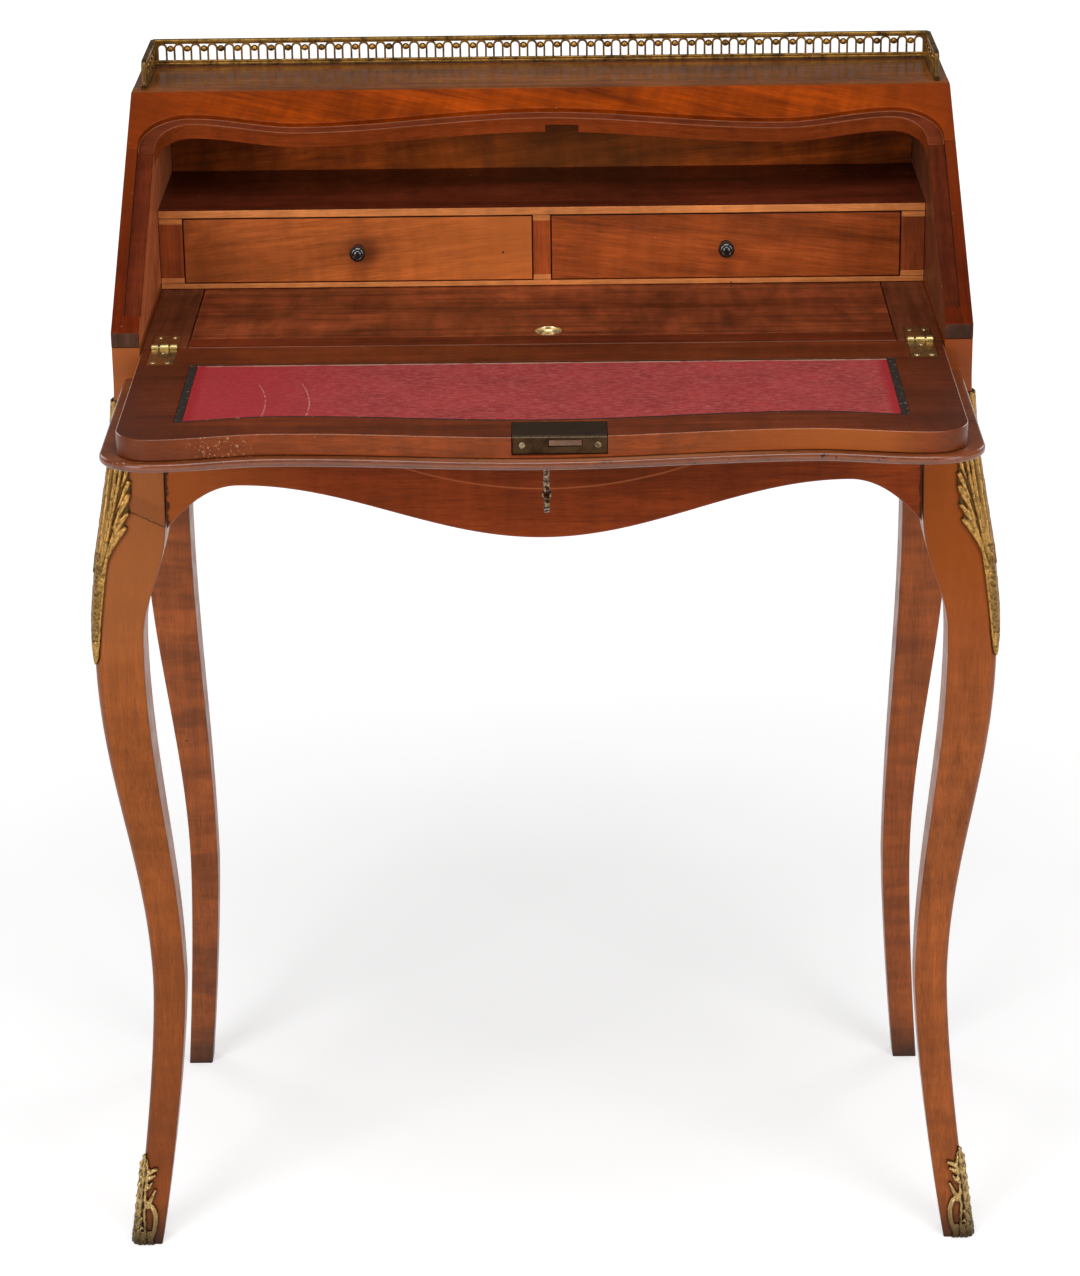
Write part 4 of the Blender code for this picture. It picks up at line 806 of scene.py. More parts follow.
def apron_section(out_at, low, back, rows=16, turns=5):
    """Section of an apron as out and up pairs: its swelling face, rounded lower edge and flat back."""
    drops = [-APRON_TOP + (low - APRON_ROUND + APRON_TOP) * i / rows for i in range(rows + 1)]
    points = [(out_at(drop), -drop) for drop in drops]
    face = points[-1][0]
    for k in range(1, turns + 1):
        a = math.pi / 2 * k / turns
        points.append((face - APRON_ROUND * (1 - math.cos(a)), -low + APRON_ROUND * (1 - math.sin(a))))
    return points + [(back, -low)]


def front_apron(look, steps=120):
    rings = []
    for i in range(steps + 1):
        x = (-FRONT_SPAN + 2 * FRONT_SPAN * i / steps) * APRON_SHRINK
        low = apron_edge(abs(x) / FRONT_SPAN, FRONT_APRON, FRONT_SPAN)
        section = apron_section(lambda drop: leg_faces(FRONT_LEG, drop)[2], low, -APRON_T)
        section.append((-APRON_T, APRON_TOP))
        ragged = APRON_RAGGED if i in (0, steps) else 0.0
        ring = []
        for out, up in section:
            worn = math.copysign(ragged * abs(noise.noise((x * 9, up * 160, 4.0))), x)
            ring.append((x - worn, -CASE_FRONT - out, up))
        rings.append(ring)
    dress(skin("front_apron_wood", rings), "desk", [look], ["front_apron"])


def side_aprons(look, steps=60):
    half, middle = (SIDE_FAR - SIDE_NEAR) / 2, (SIDE_FAR + SIDE_NEAR) / 2
    for side, hand in HANDS:
        rings = []
        for i in range(steps + 1):
            t = i / steps
            y = SIDE_NEAR + (SIDE_FAR - SIDE_NEAR) * t
            low = apron_edge(abs(y - middle) / half, SIDE_APRON, half)
            section = apron_section(lambda drop: (1 - t) * leg_faces(FRONT_LEG, drop)[0]
                                    + t * leg_faces(REAR_LEG, drop)[0], low, HALF_IN - HALF)
            section += [(HALF_IN - HALF, CASE_FOOT - GAP), (-POST_INSET, CASE_FOOT - GAP)]
            rings.append([(side * (HALF + out), y, up) for out, up in section])
        dress(skin(hand + "_apron_wood", rings), "desk", [look], [hand + "_apron"])


# Sloping case
def slope_height(point):
    return point.z * math.cos(SLOPE) - point.y * math.sin(SLOPE)


def slope_reach(point):
    return point.y * math.cos(SLOPE) + point.z * math.sin(SLOPE)


def on_ledge(middle, normal):
    """True on the floor and wall of the rebate that takes the lip of the closed fall."""
    h = slope_height(middle)
    return FALL_T - LEDGE_BELOW < h < FACE_H - LEDGE_SHORT and abs(slope_height(normal)) > SIDEWAYS


def on_opening(middle, normal):
    """True on the wall of the opening that the fall closes."""
    return (-NEAR < slope_height(middle) < FALL_T - LEDGE_BELOW and abs(slope_height(normal)) < SIDEWAYS
            and abs(middle.x) < HALF - NEAR)


def on_arris(middle, normal):
    """True on the edge between that wall and the rebate: rubbed pale, with a painted highlight."""
    return (abs(slope_height(middle) - FALL_T) < ARRIS_BAND and 0.2 < slope_height(normal) < FLAT
            and middle.z < TOP_RISE - 2 * NEAR and slope_reach(middle) > RAIL_LOW + ARRIS_START)


def in_mortise(middle, normal):
    """True inside the strike mortise."""
    return (abs(middle.x - BOLT_X) < STRIKE_W / 2 + GAP and slope_height(middle) < STRIKE_H + GAP
            and FALL_LONG + 2 * OPENING_CLEAR < slope_reach(middle) < FALL_LONG + STRIKE_DEPTH + GAP)


def rebate_tool():
    """The space that the lip of the closed fall takes, with room for its rear corner to swing."""
    lip_swing = math.hypot(LIP_REAR, FALL_T) - SWING_CLEAR
    rebate_low = math.sqrt(max(lip_swing ** 2 - FACE_H ** 2, 0.0))
    outline = fall_outline(LIP_HALF + REBATE_CLEAR, LIP_FRONT + REBATE_CLEAR, rebate_low)
    return flat("rebate", [outline], FALL_T, FACE_H * 2, SLANT)


def case_side(side, hand, looks):
    """A side of the case with its stile, cut back for the lip along the serpentine line."""
    front_z = (FACE_H - CASE_FRONT * math.sin(SLOPE)) / math.cos(SLOPE)
    under = TOP_UNDER - GAP
    profile = [(-CASE_FRONT, CASE_FOOT), (-CASE_FRONT, front_z), on_slope(RAIL_LOW - GAP, FACE_H),
               on_slope(RAIL_LOW - GAP, -GAP), ((under + GAP / math.cos(SLOPE)) / math.tan(SLOPE), under),
               (CASE_BACK, under), (CASE_BACK, CASE_FOOT)]
    xs = sorted((side * HALF_IN, side * HALF))
    panel = flat(hand + "_case_side_wood", [profile], *xs, YZ)
    cut(panel, rebate_tool())
    round_off(panel, ARRIS)
    # The inner face takes its hand's inside look: painted light on the left, painted shade on the right
    paint(panel, on_ledge,
          lambda middle, normal: normal.x * side < -FACING and abs(middle.x) < HALF_IN + NEAR,
          lambda middle, normal: normal.y < -FACING and middle.y < -CASE_FRONT + NEAR,
          lambda middle, normal: normal.x * side < -FACING and abs(middle.x) > HALF_IN + NEAR,
          lambda middle, normal: normal.x * side > FACING or normal.y > FACING)
    names = ("stile", "side_ledge", hand + "_inside", "end_grain", "rebate_wall", "case_outside")
    dress(panel, "desk", [looks[name] for name in names], [hand + "_case_side"])


def sloping_rail(looks):
    """The rail above the opening, with the rebate, the serpentine edge and the strike mortise."""
    opening = fall_outline(HALF_IN, OPENING_CLEAR, OPENING_START)
    top_front = (TOP_RISE * math.cos(SLOPE) - FACE_H) / math.sin(SLOPE)
    profile = [on_slope(RAIL_LOW, FACE_H), (top_front, TOP_RISE), (RAIL_BACK, TOP_RISE),
               (RAIL_BACK, TOP_UNDER), on_slope(RAIL_LOW, 0.0)]
    rail = flat("slant_top_rail_wood", [profile], -HALF, HALF, YZ)
    cut(rail, flat("opening", [opening], -FACE_H, FACE_H * 2, SLANT))
    cut(rail, rebate_tool())
    round_off(rail, ARRIS)
    xs = (BOLT_X - STRIKE_W / 2, BOLT_X + STRIKE_W / 2)
    us = (FALL_LONG - STRIKE_DEPTH, FALL_LONG + STRIKE_DEPTH)
    mortise = [(xs[0], us[0]), (xs[1], us[0]), (xs[1], us[1]), (xs[0], us[1])]
    cut(rail, flat("mortise", [mortise], -FACE_H, STRIKE_H, SLANT))
    paint(rail, on_ledge, on_opening, lambda middle, normal: normal.z > 0.99, on_arris,
          lambda middle, normal: abs(normal.x) > FACING and abs(middle.x) > HALF - NEAR, in_mortise)
    names = ("rail", "ledge", "wall", "top", "arris", "case_outside", "mortise")
    dress(rail, "desk", [looks[name] for name in names], ["slant_top_rail"])


def case(looks):
    for side, hand in HANDS:
        case_side(side, hand, looks)
    sloping_rail(looks)


def board(node, body, looks, edge=ARRIS, front=False):
    """A plank over a plain solid of the frame; its front face can have a look of its own."""
    plank = round_off(plain(node, "wood"), edge)
    if front:
        paint(plank, lambda middle, normal: normal.y < -SLANTED)
    return dress(plank, body, looks, [node])


def inside(looks):
    """The planks inside the case and both drawers."""
    nosing = looks["nosing"]
    board("top_board", "desk", [looks["top"]], EDGE["top_board"])
    board("back_panel", "desk", [looks["back"]])
    board("drawer_case_top", "desk", [looks["shelf"], nosing], EDGE["nosing"], True)
    board("drawer_case_bottom", "desk", [looks["tray"], nosing], EDGE["nosing"], True)
    divider("middle_divider", [looks["divider"], nosing])
    for _, hand in HANDS:
        divider(hand + "_divider", [looks["side_divider"], nosing])
    # The floor rail's front arris is paler: worn wood and a painted highlight along the hinge line
    floor_rail = [looks["floor"], looks["floor_arris"]]
    board("floor_front_rail", "desk", floor_rail, EDGE["floor_rail"], True)
    for _, hand in HANDS:
        drawer(hand + "_drawer", looks)
    recolour("back_rail", looks["rail_behind"])
    recolour("well_bottom", looks["lining_x"])


def drawer(body, looks):
    """A drawer: its front, the arris painted dark as the gap's shade, its pale lining and its knob."""
    front = body + "_front"
    plank = round_off(plain(front, "wood"), EDGE["drawer_front"])
    # Painted shade: the front's rounded edges are dark, as the gap round the drawer would be
    paint(plank, lambda middle, normal: -FACING < normal.y < -0.1)
    dress(plank, body, [looks[body], looks["drawer_gap_shade"]], [front])
    for part in ("left_side", "right_side", "back", "bottom"):
        board(f"{body}_{part}", body, [looks["lining_y"]], EDGE["lining"])
    knob(body)


def divider(node, looks):
    """An upright of the drawer case, its front crossed by the pale rails above and below."""
    low, high = span(node)
    heights = (low.z, low.z + DIVIDER_RAIL, high.z - DIVIDER_RAIL, high.z)
    corners = ((low.x, low.y), (high.x, low.y), (high.x, high.y), (low.x, high.y))
    upright = skin(node + "_wood", [[(x, y, z) for x, y in corners] for z in heights])
    round_off(upright, EDGE["divider"])
    paint(upright, lambda middle, normal: normal.y < -SIDEWAYS and not heights[1] < middle.z < heights[2])
    dress(upright, "desk", looks, [node])


def knob(body):
    """Turned ebony knob with a flat button in its face, pointing to the front."""
    node = body + "_knob"
    low, high = span(node)
    r, long = (high.x - low.x) / 2, high.y - low.y
    profile = [(0.74, 0.0), (0.76, 0.07), (0.74, 0.13), (0.60, 0.18), (0.47, 0.25), (0.44, 0.34),
               (0.47, 0.44), (0.64, 0.52), (0.86, 0.58), (0.97, 0.66), (1.00, 0.75), (0.96, 0.84),
               (0.86, 0.91), (0.70, 0.955), (0.62, 0.96), (0.59, 0.935), (0.54, 0.93), (0.50, 0.96),
               (0.36, 0.99), (0.16, 1.0), (0.02, 1.0)]
    place = ((low.x + high.x) / 2, high.y, (low.z + high.z) / 2)
    shape = turned(node + "_ebony", [(a * r, b * long) for a, b in profile], place, (0, -1, 0), 48)
    dress(shape, body, [EBONY], [node], 60)


# Floor of the compartment
def floor_strips(look):
    """Fixed strips with the grooves for the cover and the beds of the hinges."""
    cover_low, cover_high = span("well_cover")
    for side, hand in HANDS:
        node = f"floor_{hand}_strip"
        strip = round_off(plain(node, "wood"), EDGE["strip"])
        reach = sorted((side * (cover_high.x - GROOVE_DEEP), side * (cover_high.x + TONGUE_CLEAR)))
        groove = block("groove", reach, (cover_low.y - 2 * GAP, CASE_BACK),
                       (cover_low.z - TONGUE_CLEAR, cover_low.z + TONGUE_T + TONGUE_CLEAR))
        cut(strip, groove)
        bed_hinge(strip, span(hand + "_hinge_case_leaf"))
        dress(strip, "desk", [look], [node])


def well_cover(look):
    """The sliding cover, tongued at both sides, and its round finger cup."""
    low, high = span("well_cover")
    body_x = span("floor_right_strip")[0].x - GAP - TONGUE_CLEAR
    tongue = low.z + TONGUE_T
    section = [(-high.x, low.z), (high.x, low.z), (high.x, tongue), (body_x, tongue), (body_x, high.z),
               (-body_x, high.z), (-body_x, tongue), (-high.x, tongue)]
    cover = flat("well_cover_wood", [section], -high.y, -low.y, XZ)
    round_off(cover, EDGE["cover"])
    low, high = span("well_cover_pull")
    middle, r, deep = (low + high) / 2, (high.x - low.x) / 2, high.z - low.z
    cut(cover, rod("pull_bed", r + GAP, (0, 0, 1), (middle.x, middle.y, high.z), 2 * (deep + GAP)))
    dress(cover, "cover", [look], ["well_cover"])
    bore = r - CUP_WALL
    cup = [(CUP_EDGE, 0.0), (r - CUP_EDGE, 0.0), (r, CUP_EDGE), (r, deep - CUP_EDGE), (r - CUP_RIM, deep),
           (r - CUP_ROUND, deep), (bore, deep - CUP_ROUND / 2), (bore, CUP_WALL + CUP_ROUND),
           (bore - CUP_ROUND, CUP_WALL), (CUP_EDGE, CUP_WALL)]
    pull = turned("well_cover_pull_brass", cup, (middle.x, middle.y, low.z), (0, 0, 1), 56)
    dress(pull, "cover", [BRIGHT_BRASS], ["well_cover_pull"])


def bed_hinge(obj, leaf):
    """Let a hinge leaf and its barrel into a plank."""
    low, high = leaf
    far = max(abs(low.y), abs(high.y))
    way = 1 if high.y > -low.y else -1
    ys = sorted((-way * KNUCKLE_R, way * (far + GAP)))
    cut(obj, block("leaf_bed", (low.x - GAP, high.x + GAP), ys, (-LEAF_T - 2 * GAP, BED_OVER)))
    barrel = rod("barrel_bed", KNUCKLE_R + KNUCKLE_CLEAR, (1, 0, 0), ((low.x + high.x) / 2, 0, 0),
                 high.x - low.x + 2 * GAP)
    cut(obj, barrel)


# Fall
def fall(looks):
    """The inner board with the beds of the cloth, the lock and the hinges, and the lip on its outer face."""
    lock_low, lock_high = span("lock_selvedge")
    lock_back = span("lock_case")[1].y
    slab = flat("fall_board_wood", [opened(fall_outline(FALL_HALF, 0.0, FALL_REAR))], -FALL_T, 0.0)
    round_off(slab, FALL_ROUND)
    bed = cloth_outline(BORDER_SIDE + GAP, BORDER_END + GAP)
    cut(slab, flat("cloth_bed", [bed], -CLOTH_T - GAP, BED_OVER))
    cut(slab, block("lock_pocket", (lock_low.x - GAP, lock_high.x + GAP),
                    (-FALL_LONG - PAST, lock_back + GAP), (-LOCK_H - GAP, OVER)))
    for _, hand in HANDS:
        bed_hinge(slab, span(hand + "_hinge_fall_leaf"))
    outline = opened(fall_outline(LIP_HALF, LIP_FRONT, LIP_REAR, 300))
    lip = flat("fall_lip_wood", [outline], lip_low.z, lip_high.z)
    round_off(lip, LIP_ROUND, 5)
    for obj in (slab, lip):
        cut(obj, rod("keyhole", KEY_R + KEY_CLEAR, (0, 0, 1), (KEY_X, KEY_Y, -FALL_T), FALL_T * 2))
    # Paler arrises: worn wood and a painted highlight, palest along both ends of the board
    paint(slab, lambda middle, normal: abs(normal.z) < SLANTED and middle.y < -FALL_REAR - EDGE_ZONE,
          lambda middle, normal: SLANTED <= normal.z < FLAT,
          lambda middle, normal: SLANTED <= normal.z < FLAT and abs(normal.x) > SLANTED
          and abs(middle.x) > FALL_HALF - EDGE_ZONE)
    names = ("fall", "fall_edge", "fall_arris", "side_arris")
    dress(slab, "fall", [looks[name] for name in names], ["fall_board"])
    paint(lip, lambda middle, normal: normal.z < -FLAT, lambda middle, normal: normal.z > FACING)
    names = ("lip", "fall_outside", "lip_top")
    dress(lip, "fall", [looks[name] for name in names], ["fall_lip"])


def cloth_outline(side_grow, end_grow, steps=120, fray=0.0):
    """Straight at the back and sides, with a front edge that follows the serpentine."""
    half = CLOTH_HALF + side_grow
    xs = [half - 2 * half * i / steps for i in range(steps + 1)]
    rear = [(x, -CLOTH_REAR + end_grow) for x in xs[::-1]]
    front = [(x, -(serpentine(x) - CLOTH_FRONT_MARGIN + end_grow)) for x in xs]
    if not fray:
        return front + rear
    return [(x + fray * noise.noise((x * TAPE_SCALE, y * TAPE_SCALE, 1.0)),
             y + fray * noise.noise((x * TAPE_SCALE, y * TAPE_SCALE, 5.0))) for x, y in front + rear]


def cloth_sheet(across, along):
    """A thin sheet with a slightly uneven face and frayed edges."""
    points = []
    for top in (True, False):
        for i in range(across + 1):
            for j in range(along + 1):
                x = -CLOTH_HALF + 2 * CLOTH_HALF * i / across
                near, far = -CLOTH_REAR, -(serpentine(x) - CLOTH_FRONT_MARGIN)
                y = near + (far - near) * j / along
                fray = CLOTH_FRAY if i in (0, across) or j in (0, along) else 0.0
                x += fray * noise.noise((x * FRAY_SCALE, y * FRAY_SCALE, 2.0))
                y += fray * noise.noise((x * FRAY_SCALE, y * FRAY_SCALE, 7.0))
                pucker = CLOTH_PUCKER * noise.noise((x * PUCKER_SCALE, y * PUCKER_SCALE, 3.0))
                points.append((x, y, pucker - CLOTH_PUCKER if top else -CLOTH_T))
    rows, under = along + 1, (across + 1) * (along + 1)
    faces = []
    for i in range(across):
        for j in range(along):
            a = i * rows + j
            faces.append((a, a + 1, a + rows + 1, a + rows))
            faces.append((under + a, under + a + rows, under + a + rows + 1, under + a + 1))
    rim = [i * rows for i in range(across + 1)] + [across * rows + j for j in range(1, rows)]
    rim += [i * rows + along for i in range(across - 1, -1, -1)] + [j for j in range(along - 1, 0, -1)]
    for a, b in zip(rim, rim[1:] + rim[:1]):
        faces.append((a, b, b + under, a + under))
    return piece("writing_cloth_sheet", points, faces)


def cloth(cloth_finish, tape_finish):
    """The writing cloth and the tape round it."""
    across = 180
    sheet = cloth_sheet(across, 48)
    dress(sheet, "fall", [cloth_finish], ["writing_cloth"])
    band = [cloth_outline(BORDER_SIDE, BORDER_END, 260, TAPE_FRAY), cloth_outline(GAP, GAP, 260)]
    tape = flat("cloth_border_tape", band, -CLOTH_T, TAPE_TOP)
    dress(tape, "fall", [tape_finish], ["cloth_border"])


# Hinges, lock and key
def screw_head(name, place, axis, radius, slot_turn):
    """Slotted round head that stands a little proud of its plate."""
    along = Vector(axis)
    profile = [(1.0, 0.0), (1.0, 0.10), (0.93, 0.20), (0.75, 0.30), (0.45, 0.37), (0.02, 0.39)]
    head = turned(name, [(a * radius, b * radius) for a, b in profile], place, axis, 28)
    across = Matrix.Rotation(slot_turn, 3, along) @ along.orthogonal().normalized()
    other = along.cross(across)
    slot = block("slot", (-radius * 1.2, radius * 1.2), (-radius * 0.14, radius * 0.14),
                 (0.12 * radius, radius))
    turn = Matrix((across, other, along)).transposed().to_4x4()
    turn.translation = Vector(place)
    slot.data.transform(turn)
    return cut(head, slot)


def hinge_leaf(node, body):
    """A leaf with its knuckles and screws, behind the hinge line on the case and before it on the fall."""
    low, high = span(node)
    on_case = body == "desk"
    middle, half = (low.x + high.x) / 2, MIDDLE_KNUCKLE / 2
    way, far = (1, high.y) if on_case else (-1, -low.y)
    if on_case:
        long = high.x - middle - half - KNUCKLE_CLEAR
        knuckles = [(low.x + long / 2, long), (high.x - long / 2, long)]
        notches = [(middle - half - KNUCKLE_CLEAR, middle + half + KNUCKLE_CLEAR)]
    else:
        knuckles = [(middle, MIDDLE_KNUCKLE)]
        notches = [(low.x - GAP, middle - half), (middle + half, high.x + GAP)]
    leaf = block(node + "_brass", (low.x, high.x), sorted((0.0, way * far)), (-LEAF_T - GAP, -GAP))
    round_off(leaf, EDGE["leaf"], 2)
    reach = KNUCKLE_R + KNUCKLE_CLEAR
    for notch in notches:
        cut(leaf, block("notch", notch, (-reach, reach), (-reach, reach)))
    for x, long in knuckles:
        barrel = rod("knuckle", KNUCKLE_R, (1, 0, 0), (x, 0, 0), long - KNUCKLE_CLEAR, 48)
        cut(leaf, round_off(barrel, EDGE["knuckle"], 3), "UNION")
    cut(leaf, rod("bore", PIN_BORE, (1, 0, 0), (middle, 0, 0), PIN_LONG, 24))
    dress(leaf, body, [BRASS], [node])
    rng = random.Random(node)
    outer = way * (far - HINGE_SCREW_END)
    spots = [(middle - HINGE_SCREW_X, outer), (middle + HINGE_SCREW_X, outer),
             (middle, way * HINGE_SCREW_NEAR)]
    heads = [screw_head("head", (x, y, -GAP), (0, 0, 1), HINGE_SCREW_R, rng.uniform(0, math.pi))
             for x, y in spots]
    dress(join(node + "_screws", heads), body, [BRIGHT_BRASS], (), 30)


def hinges():
    for _, hand in HANDS:
        for where, body in (("case", "desk"), ("fall", "fall")):
            hinge_leaf(f"{hand}_hinge_{where}_leaf", body)
        recolour(hand + "_hinge_pin", BRASS)


def lock():
    """The case with its bolt tunnel and key chamber, the front plate with two screws, and the bolt."""
    low, high = span("lock_selvedge")
    slot_x = (BOLT_X - BOLT_W / 2 - BOLT_CLEAR, BOLT_X + BOLT_W / 2 + BOLT_CLEAR)
    slot_z = (-BOLT_DROP - BOLT_H / 2 - BOLT_CLEAR, -BOLT_DROP + BOLT_H / 2 + BOLT_CLEAR)
    bolt_back = span("lock_bolt")[1].y
    body = round_off(plain("lock_case", "steel"), EDGE["lock"])
    cut(body, block("tunnel", slot_x, (low.y - PAST, bolt_back + BOLT_CLEAR), slot_z))
    cut(body, rod("chamber", CHAMBER_R, (0, 0, 1), (KEY_X, KEY_Y, CHAMBER_Z), CHAMBER_LONG))
    dress(body, "fall", [DARK_STEEL], ["lock_case"])
    plate = round_off(plain("lock_selvedge", "brass"), EDGE["plate"], 2)
    cut(plate, block("bolt_slot", slot_x, (low.y - OVER, high.y + OVER), slot_z))
    # Painted highlight: the plate's upper rounded edge takes the brighter screw brass
    paint(plate, lambda middle, normal: 0.2 < normal.z < 0.98)
    dress(plate, "fall", [DARK_BRASS, SCREW_AND_GLINT_BRASS], ["lock_selvedge"])
    middle = (low.z + high.z) / 2
    places = (low.x + LOCK_SCREW_LEFT, high.x - LOCK_SCREW_RIGHT)
    heads = [screw_head("head", (x, low.y, middle), (0, -1, 0), LOCK_SCREW_R, turn)
             for x, turn in zip(places, LOCK_SCREW_TURNS)]
    dress(join("lock_selvedge_screws", heads), "fall", [SCREW_AND_GLINT_BRASS], (), 30)
    bolt = round_off(plain("lock_bolt", "steel"), EDGE["lock"], 2)
    dress(bolt, "bolt", [BOLT_STEEL], ["lock_bolt"])


def key():
    """Turned shank with collars, a bit at the top and a bow of three pierced lobes below."""
    top = span("key")[1].z
    profile = [(0.55, 0.0), (1.0, 0.0012), (1.0, 0.030), (1.25, 0.0306), (1.25, 0.0318), (1.0, 0.0324),
               (1.0, 0.0385), (1.55, 0.0393), (1.60, 0.0408), (1.55, 0.0423), (1.05, 0.043), (0.9, SHANK)]
    shape = turned("key_steel", [(a * KEY_R, b) for a, b in profile], (KEY_X, KEY_Y, top), (0, 0, -1), 32)
    bit = block("bit", (KEY_X - BIT_T / 2, KEY_X + BIT_T / 2), (KEY_Y, KEY_Y + KEY_R + BIT_LONG),
                (top - BIT_H - KEY_CLEAR, top - KEY_CLEAR))
    cut(shape, round_off(bit, EDGE["bit"], 2), "UNION")
    middles = [(KEY_Y + BOW_R * dy, top - SHANK + BOW_R * dz) for dy, dz, _, _ in LOBES]
    for k, (_, _, r, _) in enumerate(LOBES):
        half_t = LOBE_HALF_T - k * LOBE_STEP
        lobe = flat("lobe", [circle(middles[k], BOW_R * r)], KEY_X - half_t, KEY_X + half_t, YZ)
        cut(shape, round_off(lobe, EDGE["lobe"], 3), "UNION")
    for k, (_, _, _, eye) in enumerate(LOBES):
        cut(shape, flat("eye", [circle(middles[k], BOW_R * eye, 28)], KEY_X - OVER, KEY_X + OVER, YZ))
    dress(shape, "key", [KEY_METAL], ["key"])


# Gallery
def arch_hole(c, low, crown, r, steps=18):
    arc = [(c + r * math.cos(math.pi * k / steps), crown - r + r * math.sin(math.pi * k / steps))
           for k in range(steps + 1)]
    return [(c - r, low), (c + r, low)] + arc


def spandrel_hole(m, spring, r, pitch, steps=8):
    """Opening between two arches and the rail above, over the bead."""
    low, top = spring + BAY_DROP, spring + SPANDREL_RISE * r
    heights = [low + (top - low) * k / steps for k in range(steps + 1)]
    halves = [pitch / 2 - math.sqrt(max(0.0, r * r - (z - spring) ** 2)) for z in heights]
    right = [(m + h, z) for h, z in zip(halves, heights)]
    return right + [(2 * m - x, z) for x, z in right[::-1]]


def sweep(name, path, half_w, half_h, axes, across, turns=6):
    """A rounded bar along a path of along and up pairs, in the plane of the first two axes."""
    a, b, c = (Vector(axis) for axis in axes)
    rings = []
    for i, (s, t) in enumerate(path):
        before, after = path[max(i - 1, 0)], path[min(i + 1, len(path) - 1)]
        way = Vector((after[0] - before[0], after[1] - before[1])).normalized()
        normal = a * -way.y + b * way.x
        ring = []
        for k in range(4 * turns):
            angle = 2 * math.pi * (k + 0.5) / (4 * turns)
            u = math.copysign(abs(math.cos(angle)) ** 0.5, math.cos(angle)) * half_w
            v = math.copysign(abs(math.sin(angle)) ** 0.5, math.sin(angle)) * half_h
            ring.append(a * s + b * t + c * (across + u) + normal * v)
        rings.append(ring)
    return skin(name, rings)


def gallery_run(node, start, end, across, axes, thick, high, drop_end):
    """One run of the gallery: the pierced band, its two rails and the beads between the arches."""
    seat = TOP_RISE + GAP
    low, top = seat + GALLERY_FOOT, seat + high - GALLERY_RAIL
    rail_middle = seat + high - GALLERY_RAIL / 2
    fore = start + (GALLERY_END if drop_end else 0.0)
    count = max(1, round((end - fore) / GALLERY_PITCH))
    pitch, r = (end - fore) / count, ARCH_W / 2
    crown, spring = top - ARCH_CROWN, top - ARCH_CROWN - r
    ogee = [(start, rail_middle)]
    if drop_end:
        ogee = [(start + GALLERY_END * k / OGEE_STEPS, ease(seat + OGEE_FOOT, rail_middle, k / OGEE_STEPS))
                for k in range(OGEE_STEPS + 1)]
    path = ogee + [(end, rail_middle)]
    outline = [(end, low - BAND_FOOT), (end, top + BAND_TOP)]
    outline += [(s, min(t, top + BAND_TOP)) for s, t in ogee[::-1] if t > low - BAND_FOOT / 2]
    outline += [(start + (BAND_START if drop_end else 0.0), low - BAND_FOOT)]
    bay = pitch / 2 - r - ARCH_RIM
    holes, beads = [], []
    for i in range(count):
        c = fore + pitch * (i + 0.5)
        holes.append(arch_hole(c, low, crown, r))
        if i + 1 < count:
            m = c + pitch / 2
            sill = spring - BAY_DROP
            holes.append([(m - bay, low), (m + bay, low), (m + bay, sill), (m - bay, sill)])
            holes.append(spandrel_hole(m, spring, r + ARCH_RIM, pitch))
            beads.append(m)
    band = flat("band", [outline] + holes, across - thick / 2, across + thick / 2, axes)
    round_off(band, EDGE["gallery"], 2)
    bodies = [band, sweep("top_rail", path, RAIL_HALF, GALLERY_RAIL / 2, axes, across)]
    for level, half_w, half_h in FOOT_RAILS:
        foot = [(start, seat + level * GALLERY_FOOT), (end, seat + level * GALLERY_FOOT)]
        bodies.append(sweep("bottom_rail", foot, half_w, half_h * GALLERY_FOOT, axes, across))
    a, b, c = (Vector(axis) for axis in axes)
    half = bay + BEAD_LAP
    angles = [math.pi * k / BEAD_STEPS for k in range(BEAD_STEPS + 1)]
    egg = [(BEAD_R * math.sin(angle) + BEAD_TIP, -half * math.cos(angle)) for angle in angles]
    for m in beads:
        bodies.append(turned("bead", egg, a * m + b * spring + c * across, axes[0], 18))
    dress(join(node + "_brass", bodies), "desk", [GALLERY_BRASS], [node], 35)


def gallery():
    low, high = span("gallery_back")
    thick, tall, inset = (high.y - low.y) * BAND_SHARE, high.z - low.z, 0.0012
    gallery_run("gallery_back", low.x + inset, high.x - inset, -(low.y + high.y) / 2, XZ, thick, tall, False)
    for _, hand in HANDS:
        low, high = span("gallery_" + hand)
        gallery_run("gallery_" + hand, low.y, high.y, (low.x + high.x) / 2, YZ, thick, tall, True)


# Gilt mounts: a relief over the rounded outer corner of a front leg
def corner_point(side, drop, s, off):
    """A point s round the corner from its middle and off out from the leg's surface."""
    out, ins = leg_faces(FRONT_LEG, drop)[:2]
    r = corner_round(drop, out - ins)
    turn = r * math.pi / 4
    if abs(s) <= turn:
        a = math.pi / 4 + s / r
        across, along = out - r + (r + off) * math.cos(a), out - r + (r + off) * math.sin(a)
    else:
        across, along = out + off, out - r - (abs(s) - turn)
        if s > 0:
            across, along = along, across
    return (side * (HALF + across), -CASE_FRONT - along, -drop)


def smooth_path(points, spacing=0.4):
    """Points along a curve through a few given ones, their last value being the half width there."""
    given = [np.array(p, float) for p in points]
    given = [2 * given[0] - given[1]] + given + [2 * given[-1] - given[-2]]
    found = []
    for p0, p1, p2, p3 in zip(given, given[1:], given[2:], given[3:]):
        steps = max(4, round(math.hypot(*(p2 - p1)[:2]) / spacing))
        for k in range(steps):
            t = k / steps
            found.append(0.5 * (2 * p1 + (p2 - p0) * t + (2 * p0 - 5 * p1 + 4 * p2 - p3) * t * t
                                + (3 * p1 - p0 - 3 * p2 + p3) * t ** 3))
    return found + [given[-2]]


